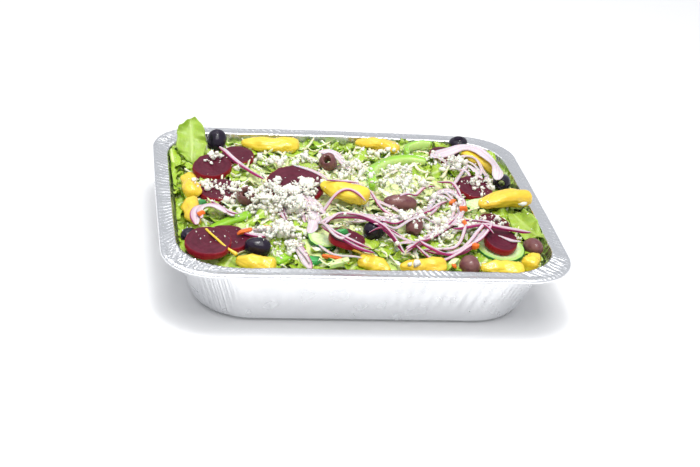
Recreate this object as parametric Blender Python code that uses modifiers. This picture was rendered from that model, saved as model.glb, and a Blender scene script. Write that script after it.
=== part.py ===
"""Foil tray meal: a mixed salad with beet, pepperoncini, olives and red onion in a half-size foil pan.

Metres, +Z up, the pan's long side along X. The origin is on the table, under the middle of the pan.
"""
import bpy
import bmesh
from math import cos, pi, radians, sin
from random import Random
from mathutils import Matrix, Vector, noise
from mathutils.bvhtree import BVHTree

NAME = "foil_tray_meal"
MM = 0.001

# Pan
RIM_LENGTH = 0.3240
RIM_WIDTH = 0.2640
RIM_HEIGHT = 0.0570
RIM_CORNER = 0.0400
OPENING_INSET = 0.0120
OPENING_CORNER = 0.0430
BASE_INSET = 0.0340
BASE_CORNER = 0.0440
HEEL_HEIGHT = 0.0090
HEEL_INSET = 0.0260
FLOOR_CURVE_HEIGHT = 0.0018
FLOOR_CURVE_INSET = 0.0292
CURL = 0.0020
FOIL = 0.0006
FLUTE = 0.0005
BOW_BACK = 0.0040
BOW_SIDE = 0.00115
MIDDLE_Y = -BOW_BACK / 2
LONG_STEPS = 38
SHORT_STEPS = 28
CORNER_STEPS = 9

# Heap
BED_EDGE = 0.0455
BED_RISE = 0.0105
BED_TILT = 0.025
BED_HALF_X = 0.1480
BED_HALF_Y = 0.1180
BED_POWER = 2.5
CORE_LONG_STEPS = 9
CORE_SHORT_STEPS = 7
CORE_CORNER_STEPS = 5
CORE_RINGS = 6
CORE_BUMP = 0.0012
CORE_CURVE_HEIGHT = 0.0030
CORE_CURVE_INSET = 0.0310
BIT_SPACING = 0.0115
BIT_LIMIT = 57
BIT_CANDIDATES = 300
BIT_REACH_X = 0.138
BIT_REACH_Y = 0.108
BIT_TILT = 14
GOLDEN_ANGLE = 2.399963
# Low x, low y, high x, high y
FREE_SPACES = ((-0.147, 0.037, -0.129, 0.065), (-0.048, -0.119, -0.008, -0.102))
STRAND_STEP = 0.0075
SAG_STEP = 0.0025
LEAF_LAYER = 0.0030
LEAF_THICKNESS = 0.0010
PEPPER_LUMP = 0.16
PEPPER_FLATNESS = 0.86
BEET_UNEVENNESS = 0.10
HOLD_HEIGHT = 0.15
PROBE_HEIGHT = 0.20
GAP = 0.0003
SEED = 17

# Colours
FOIL_COLOUR = (0.80, 0.81, 0.83)
LETTUCE_COLOUR = (0.36, 0.66, 0.13)
BEET_COLOUR = (0.16, 0.02, 0.05)
PEPPER_COLOUR = (0.80, 0.56, 0.06)
OLIVE_COLOUR = (0.03, 0.02, 0.04)
BROWN_OLIVE_COLOUR = (0.14, 0.06, 0.07)
STRIP_COLOUR = (0.24, 0.55, 0.05)
CUCUMBER_COLOUR = (0.52, 0.72, 0.30)
ONION_COLOUR = (0.62, 0.36, 0.52)


def remove_scene_objects():
    """Start from an empty scene."""
    for item in list(bpy.data.objects):
        bpy.data.objects.remove(item, do_unlink=True)


def make_collection(name):
    """A collection linked to the scene."""
    group = bpy.data.collections.new(name)
    bpy.context.scene.collection.children.link(group)
    return group


def make_material(name, colour, roughness, metallic=0.0):
    """A Principled material with one colour."""
    material = bpy.data.materials.new(name)
    material.use_nodes = True
    shader = material.node_tree.nodes["Principled BSDF"]
    shader.inputs["Base Color"].default_value = (*colour, 1.0)
    shader.inputs["Roughness"].default_value = roughness
    shader.inputs["Metallic"].default_value = metallic
    return material


def add_object(name, mesh, group, material):
    """Link a mesh as a named object with its material, shaded smooth with crisp edges."""
    item = bpy.data.objects.new(name, mesh)
    group.objects.link(item)
    mesh.materials.append(material)
    mesh.shade_smooth()
    mesh.set_sharp_from_angle(angle=radians(40))
    return item


def mesh_from(name, points, faces):
    """A mesh of triangles from points and faces, all facing outward."""
    mesh = bpy.data.meshes.new(name)
    mesh.from_pydata([tuple(point) for point in points], [], faces)
    shape = bmesh.new()
    shape.from_mesh(mesh)
    bmesh.ops.triangulate(shape, faces=shape.faces)
    bmesh.ops.recalc_face_normals(shape, faces=shape.faces)
    shape.to_mesh(mesh)
    shape.free()
    return mesh


# Outlines of the pan

def corner_radius(inset):
    """Corner radius of the level that lies this far inside the rim."""
    if inset <= OPENING_INSET:
        return RIM_CORNER + (OPENING_CORNER - RIM_CORNER) * inset / OPENING_INSET
    share = (inset - OPENING_INSET) / (BASE_INSET - OPENING_INSET)
    return OPENING_CORNER + (BASE_CORNER - OPENING_CORNER) * share


def pan_outline(inset, steps):
    """Points and outward normals of a rounded rectangle, bowed a little along its sides."""
    long_steps, short_steps, corner_steps = steps
    half_x = RIM_LENGTH / 2 - inset
    half_y = RIM_WIDTH / 2 - inset
    radius = corner_radius(inset)
    sides = (
        ((1, -1), -pi / 2, short_steps),
        ((1, 1), 0.0, long_steps),
        ((-1, 1), pi / 2, short_steps),
        ((-1, -1), pi, long_steps),
    )
    outline = []
    for (sign_x, sign_y), start, side_steps in sides:
        centre = Vector((sign_x * (half_x - radius), sign_y * (half_y - radius)))
        for step in range(corner_steps):
            angle = start + (pi / 2) * step / corner_steps
            normal = Vector((cos(angle), sin(angle)))
            outline.append((centre + normal * radius, normal))
        normal = Vector((cos(start + pi / 2), sin(start + pi / 2)))
        along = Vector((-normal.y, normal.x))
        length = 2 * ((half_y if abs(normal.x) > 0.5 else half_x) - radius)
        for step in range(side_steps):
            outline.append((centre + normal * radius + along * length * step / side_steps, normal))
    return [(bowed(point, half_x, half_y), normal) for point, normal in outline]


def bowed(point, half_x, half_y):
    """Push the middle of the back and of the short sides outward, and centre the pan on the origin."""
    across = point.x / half_x
    deep = point.y / half_y
    shift_x = BOW_SIDE * across * max(0.0, 1 - deep * deep)
    shift_y = BOW_BACK * max(0.0, deep) * max(0.0, 1 - across * across)
    return Vector((point.x + shift_x, point.y + shift_y + MIDDLE_Y))


def rings_to_faces(ring_count, per_ring, closed=False):
    """Quads between neighbouring rings of equal length."""
    faces = []
    for ring in range(ring_count if closed else ring_count - 1):
        low = ring * per_ring
        high = ((ring + 1) % ring_count) * per_ring
        for step in range(per_ring):
            after = (step + 1) % per_ring
            faces.append((low + step, low + after, high + after, high + step))
    return faces


def make_pan(group, material):
    """The foil pan: one closed skin from the inner floor, over the rolled rim, to the outer floor."""
    top = RIM_HEIGHT
    under = RIM_HEIGHT - FOIL
    curl_low = RIM_HEIGHT - 2 * CURL
    profile = (
        (BASE_INSET + FOIL, FOIL, 0.0),
        (FLOOR_CURVE_INSET + FOIL, FLOOR_CURVE_HEIGHT + FOIL, 0.4),
        (HEEL_INSET + FOIL, HEEL_HEIGHT, 1.0),
        (OPENING_INSET + FOIL, top, 1.0),
        (CURL, top, 0.0),
        (0.0, top - 0.5 * CURL, 0.0),
        (0.0, top - 1.5 * CURL, 0.0),
        (CURL, curl_low, 0.0),
        (1.9 * CURL, curl_low + 0.6 * CURL, 0.0),
        (2.2 * CURL, under, 0.0),
        (OPENING_INSET, under, 1.0),
        (HEEL_INSET, HEEL_HEIGHT, 1.0),
        (FLOOR_CURVE_INSET, FLOOR_CURVE_HEIGHT, 0.4),
        (BASE_INSET, 0.0, 0.0),
    )
    steps = (LONG_STEPS, SHORT_STEPS, CORNER_STEPS)
    points = []
    for inset, height, share in profile:
        for index, (point, normal) in enumerate(pan_outline(inset, steps)):
            flute = FLUTE * share * (1 if index % 2 else -1)
            points.append((point.x + normal.x * flute, point.y + normal.y * flute, height))
    per_ring = len(points) // len(profile)
    faces = rings_to_faces(len(profile), per_ring)
    faces.append(tuple(reversed(range(per_ring))))
    faces.append(tuple(range(len(points) - per_ring, len(points))))
    return add_object("foil_pan", mesh_from("foil_pan", points, faces), group, material)


# The heap's core

def bed_height(x, y):
    """Height of the salad's surface: gently domed, and a little higher at the back."""
    share_x = max(0.0, 1 - abs(x / BED_HALF_X) ** BED_POWER)
    share_y = max(0.0, 1 - abs(y / BED_HALF_Y) ** BED_POWER)
    return BED_EDGE + BED_TILT * y + BED_RISE * share_x * share_y


def make_core(group, material):
    """The bare heap: it fills the pan up to its domed, slightly bumpy surface."""
    steps = (CORE_LONG_STEPS, CORE_SHORT_STEPS, CORE_CORNER_STEPS)
    wall_gap = FOIL + FLUTE + 2 * GAP
    slope = (HEEL_INSET - OPENING_INSET) / (RIM_HEIGHT - HEEL_HEIGHT)
    edge_low = BED_EDGE - BED_TILT * BED_HALF_Y
    edge_inset = OPENING_INSET + slope * (RIM_HEIGHT - edge_low) + wall_gap
    walls = (
        (BASE_INSET + wall_gap, FOIL + 2 * GAP),
        (CORE_CURVE_INSET + wall_gap, CORE_CURVE_HEIGHT),
        (HEEL_INSET + wall_gap, HEEL_HEIGHT + GAP),
        (edge_inset, edge_low),
    )
    points = []
    for inset, height in walls:
        points.extend(Vector((*point, height)) for point, normal in pan_outline(inset, steps))
    per_ring = len(points) // len(walls)
    edge = [Vector(point[:2]) for point in points[-per_ring:]]
    for point in points[-per_ring:]:
        point.z = bed_height(point.x, point.y)
    for ring in range(1, CORE_RINGS):
        share = 1 - (ring / CORE_RINGS) ** 1.15
        for point in edge:
            spot = point * share
            bump = CORE_BUMP * noise.noise(Vector((spot.x, spot.y, 0.0)) / 0.018)
            points.append(Vector((spot.x, spot.y, bed_height(spot.x, spot.y) + bump)))
    rings = len(walls) + CORE_RINGS - 1
    faces = rings_to_faces(rings, per_ring)
    faces.append(tuple(reversed(range(per_ring))))
    points.append(Vector((0.0, 0.0, bed_height(0.0, 0.0))))
    last = (rings - 1) * per_ring
    for step in range(per_ring):
        faces.append((last + step, last + (step + 1) % per_ring, len(points) - 1))
    return add_object("salad", mesh_from("salad", points, faces), group, material)


# Shapes of the toppings

def swept(path, rings):
    """A closed loft: each ring is a list of points round the path's point, with flat ends."""
    points = [point for ring in rings for point in ring]
    per_ring = len(rings[0])
    faces = rings_to_faces(len(path), per_ring)
    faces.append(tuple(reversed(range(per_ring))))
    faces.append(tuple(range(len(points) - per_ring, len(points))))
    return points, faces


def pepper_mesh(name, length, radius, bend, seed):
    """A pepperoncini: a wrinkled, tapered body along X, bent sideways."""
    sides = 8
    stations = (
        (-0.500, 0.16), (-0.480, 0.56), (-0.38, 0.94), (-0.20, 1.00), (-0.02, 0.86),
        (0.16, 0.90), (0.34, 0.64), (0.48, 0.36), (0.500, 0.12),
    )
    path = []
    rings = []
    for share, width in stations:
        centre = Vector((share * length, bend * (0.25 - share * share) * 4 - bend, 0.0))
        path.append(centre)
        ring = []
        for side in range(sides):
            angle = 2 * pi * side / sides
            lump = noise.noise(Vector((cos(angle), sin(angle), share * 5 + seed)))
            reach = radius * width * (1 + (PEPPER_LUMP * lump if width > 0.2 else 0.0))
            ring.append(centre + Vector((0.0, cos(angle) * reach, sin(angle) * reach * PEPPER_FLATNESS)))
        rings.append(ring)
    points, faces = swept(path, rings)
    return mesh_from(name, points, faces)


def beet_mesh(name, radius, thickness, seed):
    """A round beet slice with an uneven edge."""
    sides = 16
    shape = bmesh.new()
    bmesh.ops.create_cone(shape, cap_ends=True, segments=sides, radius1=radius, radius2=radius, depth=thickness)
    for vertex in shape.verts:
        lump = noise.noise(Vector((vertex.co.x, vertex.co.y, 0.0)) / radius * 0.8 + Vector((seed, 0, 0)))
        vertex.co.xy *= 1 + BEET_UNEVENNESS * lump
    bmesh.ops.triangulate(shape, faces=shape.faces)
    mesh = bpy.data.meshes.new(name)
    shape.to_mesh(mesh)
    shape.free()
    return mesh


def cucumber_mesh(name, radius, thickness, start, sweep):
    """A cucumber slice, whole or a wedge of it: an outline of an arc closed at the centre."""
    sides = 16
    count = max(3, round(sides * sweep / (2 * pi)))
    whole = sweep > 6.2
    outline = []
    for step in range(count if whole else count + 1):
        angle = start + sweep * step / count
        outline.append(Vector((cos(angle), sin(angle), 0.0)) * radius)
    if not whole:
        outline.append(Vector((0.0, 0.0, 0.0)))
    per_ring = len(outline)
    lift = Vector((0.0, 0.0, thickness / 2))
    points = [point - lift for point in outline] + [point + lift for point in outline]
    faces = rings_to_faces(2, per_ring)
    faces.append(tuple(reversed(range(per_ring))))
    faces.append(tuple(range(per_ring, 2 * per_ring)))
    return mesh_from(name, points, faces)


def olive_mesh(name, length, radius, hole):
    """An olive along X, whole, or pitted with a hole from end to end: a turned profile."""
    steps = 9
    half = length / 2
    if hole > 0:
        outer = [(-0.94, 0.62), (-0.62, 0.90), (0.0, 1.0), (0.62, 0.90), (0.94, 0.62)]
        profile = [(share * half, width * radius) for share, width in outer]
        profile += [(0.86 * half, hole), (-0.86 * half, hole)]
    else:
        outer = [(-0.86, 0.50), (-0.50, 0.86), (0.0, 1.0), (0.50, 0.86), (0.86, 0.50)]
        profile = [(-half, 0.0)] + [(share * half, width * radius) for share, width in outer] + [(half, 0.0)]
    points = []
    for along, reach in profile:
        if reach == 0.0:
            points.append([Vector((along, 0.0, 0.0))])
            continue
        angles = [2 * pi * step / steps for step in range(steps)]
        points.append([Vector((along, reach * cos(angle), reach * sin(angle))) for angle in angles])
    if hole > 0:
        flat = [point for ring in points for point in ring]
        return mesh_from(name, flat, rings_to_faces(len(points), steps, closed=True))
    middle = [point for ring in points[1:-1] for point in ring]
    faces = rings_to_faces(len(points) - 2, steps)
    last = len(middle) - steps
    middle += [points[0][0], points[-1][0]]
    for step in range(steps):
        after = (step + 1) % steps
        faces.append((after, step, len(middle) - 2))
        faces.append((last + step, last + after, len(middle) - 1))
    return mesh_from(name, middle, faces)


def leaf_mesh(name, length, width, wave, curl, seed, columns=7, rows=5):
    """A thin wavy leaf along X: a grid of triangles thickened alike on both faces."""
    points = []
    for row in range(rows):
        across = 2 * row / (rows - 1) - 1
        for column in range(columns):
            share = column / (columns - 1)
            reach = width / 2 * (0.45 + 0.55 * sin(pi * min(1.0, 0.12 + 0.86 * share)))
            ruffle = wave * abs(across) * sin(4.2 * pi * share + 2.1 * across + seed)
            rise = curl * across * across + 0.3 * wave * noise.noise(Vector((share * 3, across, seed)))
            edge = 1 + 0.10 * sin(9 * share * pi + seed) * abs(across)
            points.append(Vector(((share - 0.5) * length, across * reach * edge, ruffle + rise)))
    faces = []
    for row in range(rows - 1):
        for column in range(columns - 1):
            first = row * columns + column
            above = first + columns
            faces.append((first, first + 1, above + 1))
            faces.append((first, above + 1, above))
    mesh = bpy.data.meshes.new(name)
    mesh.from_pydata(points, [], faces)
    return mesh


# Paths of strips and strands

def smooth_path(route, spacing):
    """Points about one spacing apart on a Catmull-Rom curve through the route."""
    knots = [Vector(point) * MM for point in route]
    knots = [2 * knots[0] - knots[1]] + knots + [2 * knots[-1] - knots[-2]]
    path = []
    for index in range(1, len(knots) - 2):
        before, start, end, after = knots[index - 1:index + 3]
        count = max(1, round((end - start).length / spacing))
        for step in range(count):
            share = step / count
            path.append(0.5 * (
                2 * start + (end - before) * share
                + (2 * before - 5 * start + 4 * end - after) * share ** 2
                + (3 * start - before - 3 * end + after) * share ** 3))
    path.append(knots[-2])
    return path


def band_mesh(name, path, heights, width, thickness):
    """A strip with a four-sided section that follows a flat path at the heights given."""
    rings = []
    for index, spot in enumerate(path):
        before = path[max(0, index - 1)]
        after = path[min(len(path) - 1, index + 1)]
        along = (after - before).normalized()
        side = Vector((-along.y, along.x, 0.0)) * width / 2
        centre = Vector((spot.x, spot.y, heights[index]))
        lift = Vector((0.0, 0.0, thickness / 2))
        rings.append([centre - side - lift, centre + side - lift, centre + side + lift, centre - side + lift])
    points, faces = swept(path, rings)
    return mesh_from(name, points, faces)


# Resting pieces on what is below them

class Heap:
    """The pieces placed so far, each as world points and a search tree."""

    def __init__(self):
        self.pieces = []

    def add(self, item):
        """Remember a finished piece."""
        points, faces = world_mesh(item)
        self.pieces.append((points, BVHTree.FromPolygons(points, faces)))

    def top_at(self, x, y, low):
        """Height of the highest surface at a spot, or the low level given."""
        best = low
        for points, tree in self.pieces:
            hit = tree.ray_cast(Vector((x, y, PROBE_HEIGHT)), Vector((0.0, 0.0, -1.0)))
            if hit[0] is not None:
                best = max(best, hit[0].z)
        return best

    def drop(self, item):
        """Lower a piece from above until it almost touches what is below it."""
        points, faces = world_mesh(item)
        tree = BVHTree.FromPolygons(points, faces)
        probes = points + [sum((points[i] for i in face), Vector()) / len(face) for face in faces]
        low = Vector(tuple(min(point[axis] for point in points) for axis in range(3)))
        high = Vector(tuple(max(point[axis] for point in points) for axis in range(3)))
        room = 1.0
        for other_points, other in self.pieces:
            for probe in probes:
                hit = other.ray_cast(probe, Vector((0.0, 0.0, -1.0)))
                if hit[0] is not None:
                    room = min(room, hit[3])
            for probe in other_points:
                if low.x < probe.x < high.x and low.y < probe.y < high.y:
                    hit = tree.ray_cast(Vector((probe.x, probe.y, 0.0)), Vector((0.0, 0.0, 1.0)))
                    if hit[0] is not None:
                        room = min(room, hit[0].z - probe.z)
        item.location.z += GAP - room
        self.lift_clear(item)

    def lift_clear(self, item):
        """Raise a piece by small steps until nothing touches it."""
        points, faces = world_mesh(item)
        shift = 0.0
        while self.touches(swollen(points, faces, shift), faces):
            shift += GAP
        item.location.z += shift

    def touches(self, points, faces):
        """Whether a mesh meets any placed piece."""
        tree = BVHTree.FromPolygons(points, faces)
        return any(tree.overlap(other) for other_points, other in self.pieces)


def world_mesh(item):
    """World points and faces of an object with its modifiers."""
    bpy.context.view_layer.update()
    graph = bpy.context.evaluated_depsgraph_get()
    finished = item.evaluated_get(graph)
    mesh = finished.to_mesh()
    matrix = finished.matrix_world
    points = [matrix @ vertex.co for vertex in mesh.vertices]
    faces = [tuple(face.vertices) for face in mesh.polygons]
    finished.to_mesh_clear()
    return points, faces


def swollen(points, faces, shift):
    """The points moved up and a gap's width outward along their normals."""
    normals = [Vector() for point in points]
    for face in faces:
        first, second, third = (points[i] for i in face[:3])
        normal = (second - first).cross(third - first).normalized()
        for index in face:
            normals[index] += normal
    lift = Vector((0.0, 0.0, shift))
    return [point + normal.normalized() * GAP + lift for point, normal in zip(points, normals)]


def lay(item, x, y, turn, pitch=0.0, roll=0.0):
    """Turn a piece and hold it over its spot; pitch lowers its +X end and roll tips it about its length."""
    item.rotation_euler = (Matrix.Rotation(radians(turn), 3, "Z") @ Matrix.Rotation(radians(pitch), 3, "Y")
                           @ Matrix.Rotation(radians(roll), 3, "X")).to_euler()
    item.location = (x * MM, y * MM, HOLD_HEIGHT)


# Toppings: places in millimetres, angles in degrees

# name, x, y, radius, thickness, way it tips towards, tip
BEETS = (
    ("beet_back_left_far", -91, 71, 14, 5.5, 240, 6),
    ("beet_back_left", -114, 48, 16.5, 6.5, 250, 10),
    ("beet_left", -110, 8, 17, 6.0, 200, 6),
    ("beet_front_left_far", -109, -69, 17.5, 6.0, 270, 3),
    ("beet_front_left", -125, -86, 18, 6.5, 240, 10),
    ("beet_middle", -49, 5, 24, 6.0, 250, 14),
    ("beet_front", -17, -79, 15, 6.0, 20, 10),
    ("beet_right", 109, 22, 16, 5.5, 280, 8),
    ("beet_back_right", 98, 94, 13.5, 6.0, 90, 4),
    ("beet_right_slanted", 114, -36, 14, 5.0, 340, 12),
    ("beet_front_right", 110, -73, 14, 6.0, 290, 12),
)

# name, x, y, radius, thickness, arc start, arc sweep, way it tips towards, tip
CUCUMBERS = (
    ("cucumber_front_right", 111, -72, 20, 4.5, 0, 360, 290, 6),
    ("cucumber_right", 103, 0, 14, 5.0, 200, 180, 270, 6),
    ("cucumber_front", -33, -70, 13, 5.0, 150, 200, 280, 10),
    ("cucumber_front_middle", -25, -91, 10, 5.0, 180, 180, 280, 6),
)

# name, x, y, turn, pitch over the bed's slope, length, radius, sideways bend
PEPPERS = (
    ("pepperoncini_back", -60, 93, 172, 0, 52, 8.5, 3),
    ("pepperoncini_back_middle", 38, 101, 152, 0, 42, 7.5, -3),
    ("pepperoncini_left_back", -135, 15, 92, 0, 38, 7.5, 2),
    ("pepperoncini_left_front", -135, -27, 275, 0, 38, 7.5, -3),
    ("pepperoncini_front_left", -90, -106, 160, 0, 32, 8.5, 0),
    ("pepperoncini_middle", -11, -16, 148, 0, 44, 9.5, 2),
    ("pepperoncini_back_right", 130, 76, 305, 0, 46, 7.5, 4),
    ("pepperoncini_right", 127, -8, 195, 10, 50, 9.0, -3),
    ("pepperoncini_front_middle", 3, -105, 330, 0, 27, 7.5, 2),
    ("pepperoncini_front", 41, -107, 184, 0, 38, 8.0, 1),
    ("pepperoncini_front_right", 104.5, -106, 176, 0, 36, 8.0, -2),
    ("pepperoncini_corner", 133, -92, 55, 0, 22, 7.0, 1),
)

# name, x, y, turn, pitch, length, radius, hole radius
LOW_OLIVES = (
    ("olive_left_corner", -139, -62, 60, 0, 15, 6.0, 0.0),
    ("olive_front_left", -87, -86, 170, 0, 20, 7.5, 2.4),
    ("olive_front", 8, -63, 20, -20, 18, 8.0, 0.0),
    ("olive_brown_front", 78.5, -105, 95, 0, 18, 8.0, 0.0),
)
OLIVES = (
    ("olive_back_left", -107, 96, 70, -50, 19, 8.5, 3.0),
    ("olive_ring_back", 113, 109, 0, 80, 8, 8.5, 3.6),
    ("olive_back_right", 137, 36, 250, -20, 20, 8.0, 3.0),
    ("olive_brown_back", -15, 49, 250, -40, 18, 8.0, 3.0),
    ("olive_brown_left", -90, -13, 250, -45, 18, 8.0, 3.0),
    ("olive_brown_middle", 42, -56, 60, -30, 16, 7.0, 2.6),
    ("olive_brown_long", 37, -17, 175, 0, 28, 7.0, 0.0),
    ("olive_brown_right", 139, -70, 110, 10, 20, 7.0, 0.0),
)

# name, route, width, height
STRIPS = (
    ("pepper_strip_back", ((18, 12), (22, 38), (36, 59), (58, 71), (76, 68)), 8.0, 9.0),
    ("pepper_ring_back", ((61, 84), (64, 99), (76, 106), (87, 100)), 5.5, 8.0),
    ("pepper_strip_left", ((-122, -50), (-105, -40), (-88, -29)), 9.0, 4.5),
    ("pepper_strip_front", ((-74, -100), (-64, -92), (-56, -82)), 8.0, 4.5),
)

# name, route, width, height
ONIONS = (
    ("onion_ring_back", ((80, 66), (92, 82), (112, 92), (126, 84), (133, 66), (134, 44), (128, 22)), 10.0, 2.2),
    ("onion_sliver_back", ((113, 67), (101, 41), (88, 14)), 3.0, 2.4),
    ("onion_sliver_left", ((-107, 75), (-91, 45), (-73, 16)), 4.2, 2.6),
    ("onion_half_left", ((-133, -57), (-134, -42), (-127, -30), (-117, -27), (-108, -32), (-102, -40)), 8.0, 2.2),
    ("onion_loop_left", ((-69, -59), (-82, -62), (-95, -62), (-97, -68), (-83, -70), (-70, -64)), 3.0, 2.2),
    ("onion_curl_middle", ((-62, -47), (-64, -28), (-56, -15), (-46, -15), (-40, -28), (-38, -44)), 3.4, 3.2),
    ("onion_wedge_front", ((-62, -74), (-55, -88), (-50, -101), (-48, -111)), 8.0, 3.0),
    ("onion_arc_middle", ((-35, -52), (-21, -43), (-9, -50), (3, -62), (17, -76), (27, -98)), 3.8, 2.6),
    ("onion_arc_front", ((-36, -66), (-28, -84), (-14, -98), (2, -104)), 3.4, 2.6),
    ("onion_teardrop", ((28, -96), (50, -72), (67, -56), (80, -41), (88, -24), (91, -6), (84, 8), (72, 1),
                        (62, -20), (49, -36), (38, -43), (21, -46), (8, -42), (-6, -38)), 4.0, 2.6),
    ("onion_ring_right", ((41, -86), (48, -93), (60, -96), (76, -90), (91, -78), (100, -66), (97, -54), (84, -50),
                          (72, -54)), 4.4, 2.6),
    ("onion_top_right", ((72, -62), (85, -66), (98, -68), (119, -66), (138, -62)), 3.4, 2.8),
)

# name, x, y, turn, pitch, roll, length, width, ruffle, cupping
LEAVES = (
    ("lettuce_leaf_back_left", -130, 84, 92, -38, 0, 43, 26, 2.0, 2.5),
    ("lettuce_leaf_right", 141, -36, 285, 0, 32, 42, 21, 2.0, 2.0),
)


def make_olive(row, group, materials):
    """One olive held over its spot; brown ones have their own material."""
    name, x, y, turn, pitch, length, radius, hole = row
    kind = "brown_olive" if "brown" in name else "olive"
    item = add_object(name, olive_mesh(name, length * MM, radius * MM, hole * MM), group, materials[kind])
    lay(item, x, y, turn, pitch)
    return item


def make_toppings(group, materials, heap):
    """Every topping of berry size or more, laid on the heap from the lowest to the highest."""
    def settle(item):
        heap.drop(item)
        heap.add(item)

    for index, (name, x, y, turn, pitch, roll, length, width, wave, curl) in enumerate(LEAVES):
        mesh = leaf_mesh(name, length * MM, width * MM, wave * MM, curl * MM, index)
        item = add_object(name, mesh, group, materials["lettuce"])
        thicken = item.modifiers.new("thickness", "SOLIDIFY")
        thicken.thickness = LEAF_THICKNESS
        thicken.offset = 0.0
        lay(item, x, y, turn, pitch, roll)
        settle(item)
    for name, x, y, radius, thickness, start, sweep, heading, tip in CUCUMBERS:
        mesh = cucumber_mesh(name, radius * MM, thickness * MM, radians(start - heading), radians(sweep))
        item = add_object(name, mesh, group, materials["cucumber"])
        lay(item, x, y, heading, pitch=tip)
        settle(item)
    for row in LOW_OLIVES:
        settle(make_olive(row, group, materials))
    for index, (name, x, y, radius, thickness, heading, tip) in enumerate(BEETS):
        mesh = beet_mesh(name, radius * MM, thickness * MM, index)
        item = add_object(name, mesh, group, materials["beet"])
        lay(item, x, y, heading, pitch=tip)
        settle(item)
    for name, route, width, height in STRIPS:
        settle(draped_band(name, route, width, height, 0.0, heap, group, materials["green_pepper"]))
    for index, (name, x, y, turn, pitch, length, radius, bend) in enumerate(PEPPERS):
        mesh = pepper_mesh(name, length * MM, radius * MM, bend * MM, index)
        item = add_object(name, mesh, group, materials["pepperoncini"])
        lay(item, x, y, turn, pitch=pitch + bed_slope(x, y, turn))
        settle(item)
    for row in OLIVES:
        settle(make_olive(row, group, materials))
    for name, route, width, height in ONIONS:
        item = draped_band(name, route, width, height, LEAF_LAYER, heap, group, materials["onion"])
        heap.lift_clear(item)
        heap.add(item)


def bed_slope(x, y, turn):
    """Pitch in degrees that lays a long piece along the bed."""
    reach = 16.0
    ahead = bed_height((x + reach * cos(radians(turn))) * MM, (y + reach * sin(radians(turn))) * MM)
    behind = bed_height((x - reach * cos(radians(turn))) * MM, (y - reach * sin(radians(turn))) * MM)
    return (behind - ahead) / (2 * reach * MM) * 180 / pi


def draped_band(name, route, width, height, layer, heap, group, material):
    """A strip that follows a route over whatever lies below it, and sags smoothly between."""
    path = smooth_path([(x, y, 0.0) for x, y in route], STRAND_STEP)
    reach = width * MM / 2 + GAP
    tops = []
    for spot in path:
        around = ((0, 0), (reach, 0), (-reach, 0), (0, reach), (0, -reach))
        low = bed_height(spot.x, spot.y) + layer
        tops.append(max(heap.top_at(spot.x + dx, spot.y + dy, low) for dx, dy in around))
    count = len(tops)
    order = list(range(1, count)) + list(range(count - 2, -1, -1))
    for index in order:
        near = tops[index - 1:index] + tops[index + 1:index + 2]
        tops[index] = max([tops[index]] + [value - SAG_STEP for value in near])
    heights = [sum(tops[max(0, i - 1):i + 2]) / len(tops[max(0, i - 1):i + 2]) for i in range(count)]
    heights = [value + height * MM / 2 + 2 * GAP for value in heights]
    return add_object(name, band_mesh(name, path, heights, width * MM, height * MM), group, material)


# Small pieces fused on the heap

def crumb_mesh(name, size, draw):
    """A feta crumb or a diced piece: a small box with uneven corners."""
    shape = bmesh.new()
    bmesh.ops.create_cube(shape, size=1.0)
    for vertex in shape.verts:
        vertex.co = Vector(vertex.co[axis] * size[axis] * draw.uniform(0.8, 1.15) for axis in range(3))
    bmesh.ops.triangulate(shape, faces=shape.faces)
    mesh = bpy.data.meshes.new(name)
    shape.to_mesh(mesh)
    shape.free()
    return mesh


def heap_candidates(draw):
    """Small pieces of the salad, spread evenly over the bed: kind, place, turn."""
    kinds = ("leaf", "feta", "leaf", "shred", "feta", "leaf", "carrot", "feta")
    places = []
    for index in range(BIT_CANDIDATES):
        angle = index * GOLDEN_ANGLE
        share = (0.04 + 0.94 * index / BIT_CANDIDATES) ** 0.5
        corner = 1 + 0.22 * abs(sin(2 * angle))
        x = BIT_REACH_X * share * cos(angle) * corner
        y = BIT_REACH_Y * share * sin(angle) * corner
        if abs(x) < BIT_REACH_X and abs(y) < BIT_REACH_Y:
            places.append((kinds[index % len(kinds)], x, y, draw.uniform(0, 360)))
    draw.shuffle(places)
    return places


# How far each kind of small piece sinks into the leaf layer
SINK = {"leaf": 0.0024, "shred": 0.0006, "carrot": 0.0010, "feta": 0.0004}


def heap_piece(kind, x, y, turn, group, draw):
    """One small piece, half sunk in the bed."""
    if kind == "leaf":
        mesh = leaf_mesh("bit", draw.uniform(0.015, 0.026), draw.uniform(0.009, 0.015), 0.0018, 0.0024,
                         draw.uniform(0, 6), columns=4, rows=3)
    elif kind == "shred":
        mesh = crumb_mesh("bit", (draw.uniform(0.020, 0.030), 0.0030, 0.0022), draw)
    elif kind == "carrot":
        mesh = crumb_mesh("bit", (draw.uniform(0.008, 0.015), 0.0045, 0.0045), draw)
    else:
        size = draw.uniform(0.004, 0.009)
        mesh = crumb_mesh("bit", (size, size * draw.uniform(0.7, 1.0), size * 0.8), draw)
    item = bpy.data.objects.new("bit", mesh)
    group.objects.link(item)
    if kind == "leaf":
        thicken = item.modifiers.new("thickness", "SOLIDIFY")
        thicken.thickness = LEAF_THICKNESS
        thicken.offset = 0.0
    tilt = [radians(draw.uniform(-BIT_TILT, BIT_TILT)) for axis in range(2)]
    item.rotation_euler = (tilt[0], tilt[1], radians(turn))
    item.location = (x, y, bed_height(x, y) + LEAF_LAYER - SINK[kind])
    return item


def in_free_space(points):
    """Whether any point lies over one of the places by the wall that stay free of small pieces."""
    return any(low_x < point.x < high_x and low_y < point.y < high_y
               for point in points for low_x, low_y, high_x, high_y in FREE_SPACES)


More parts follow.
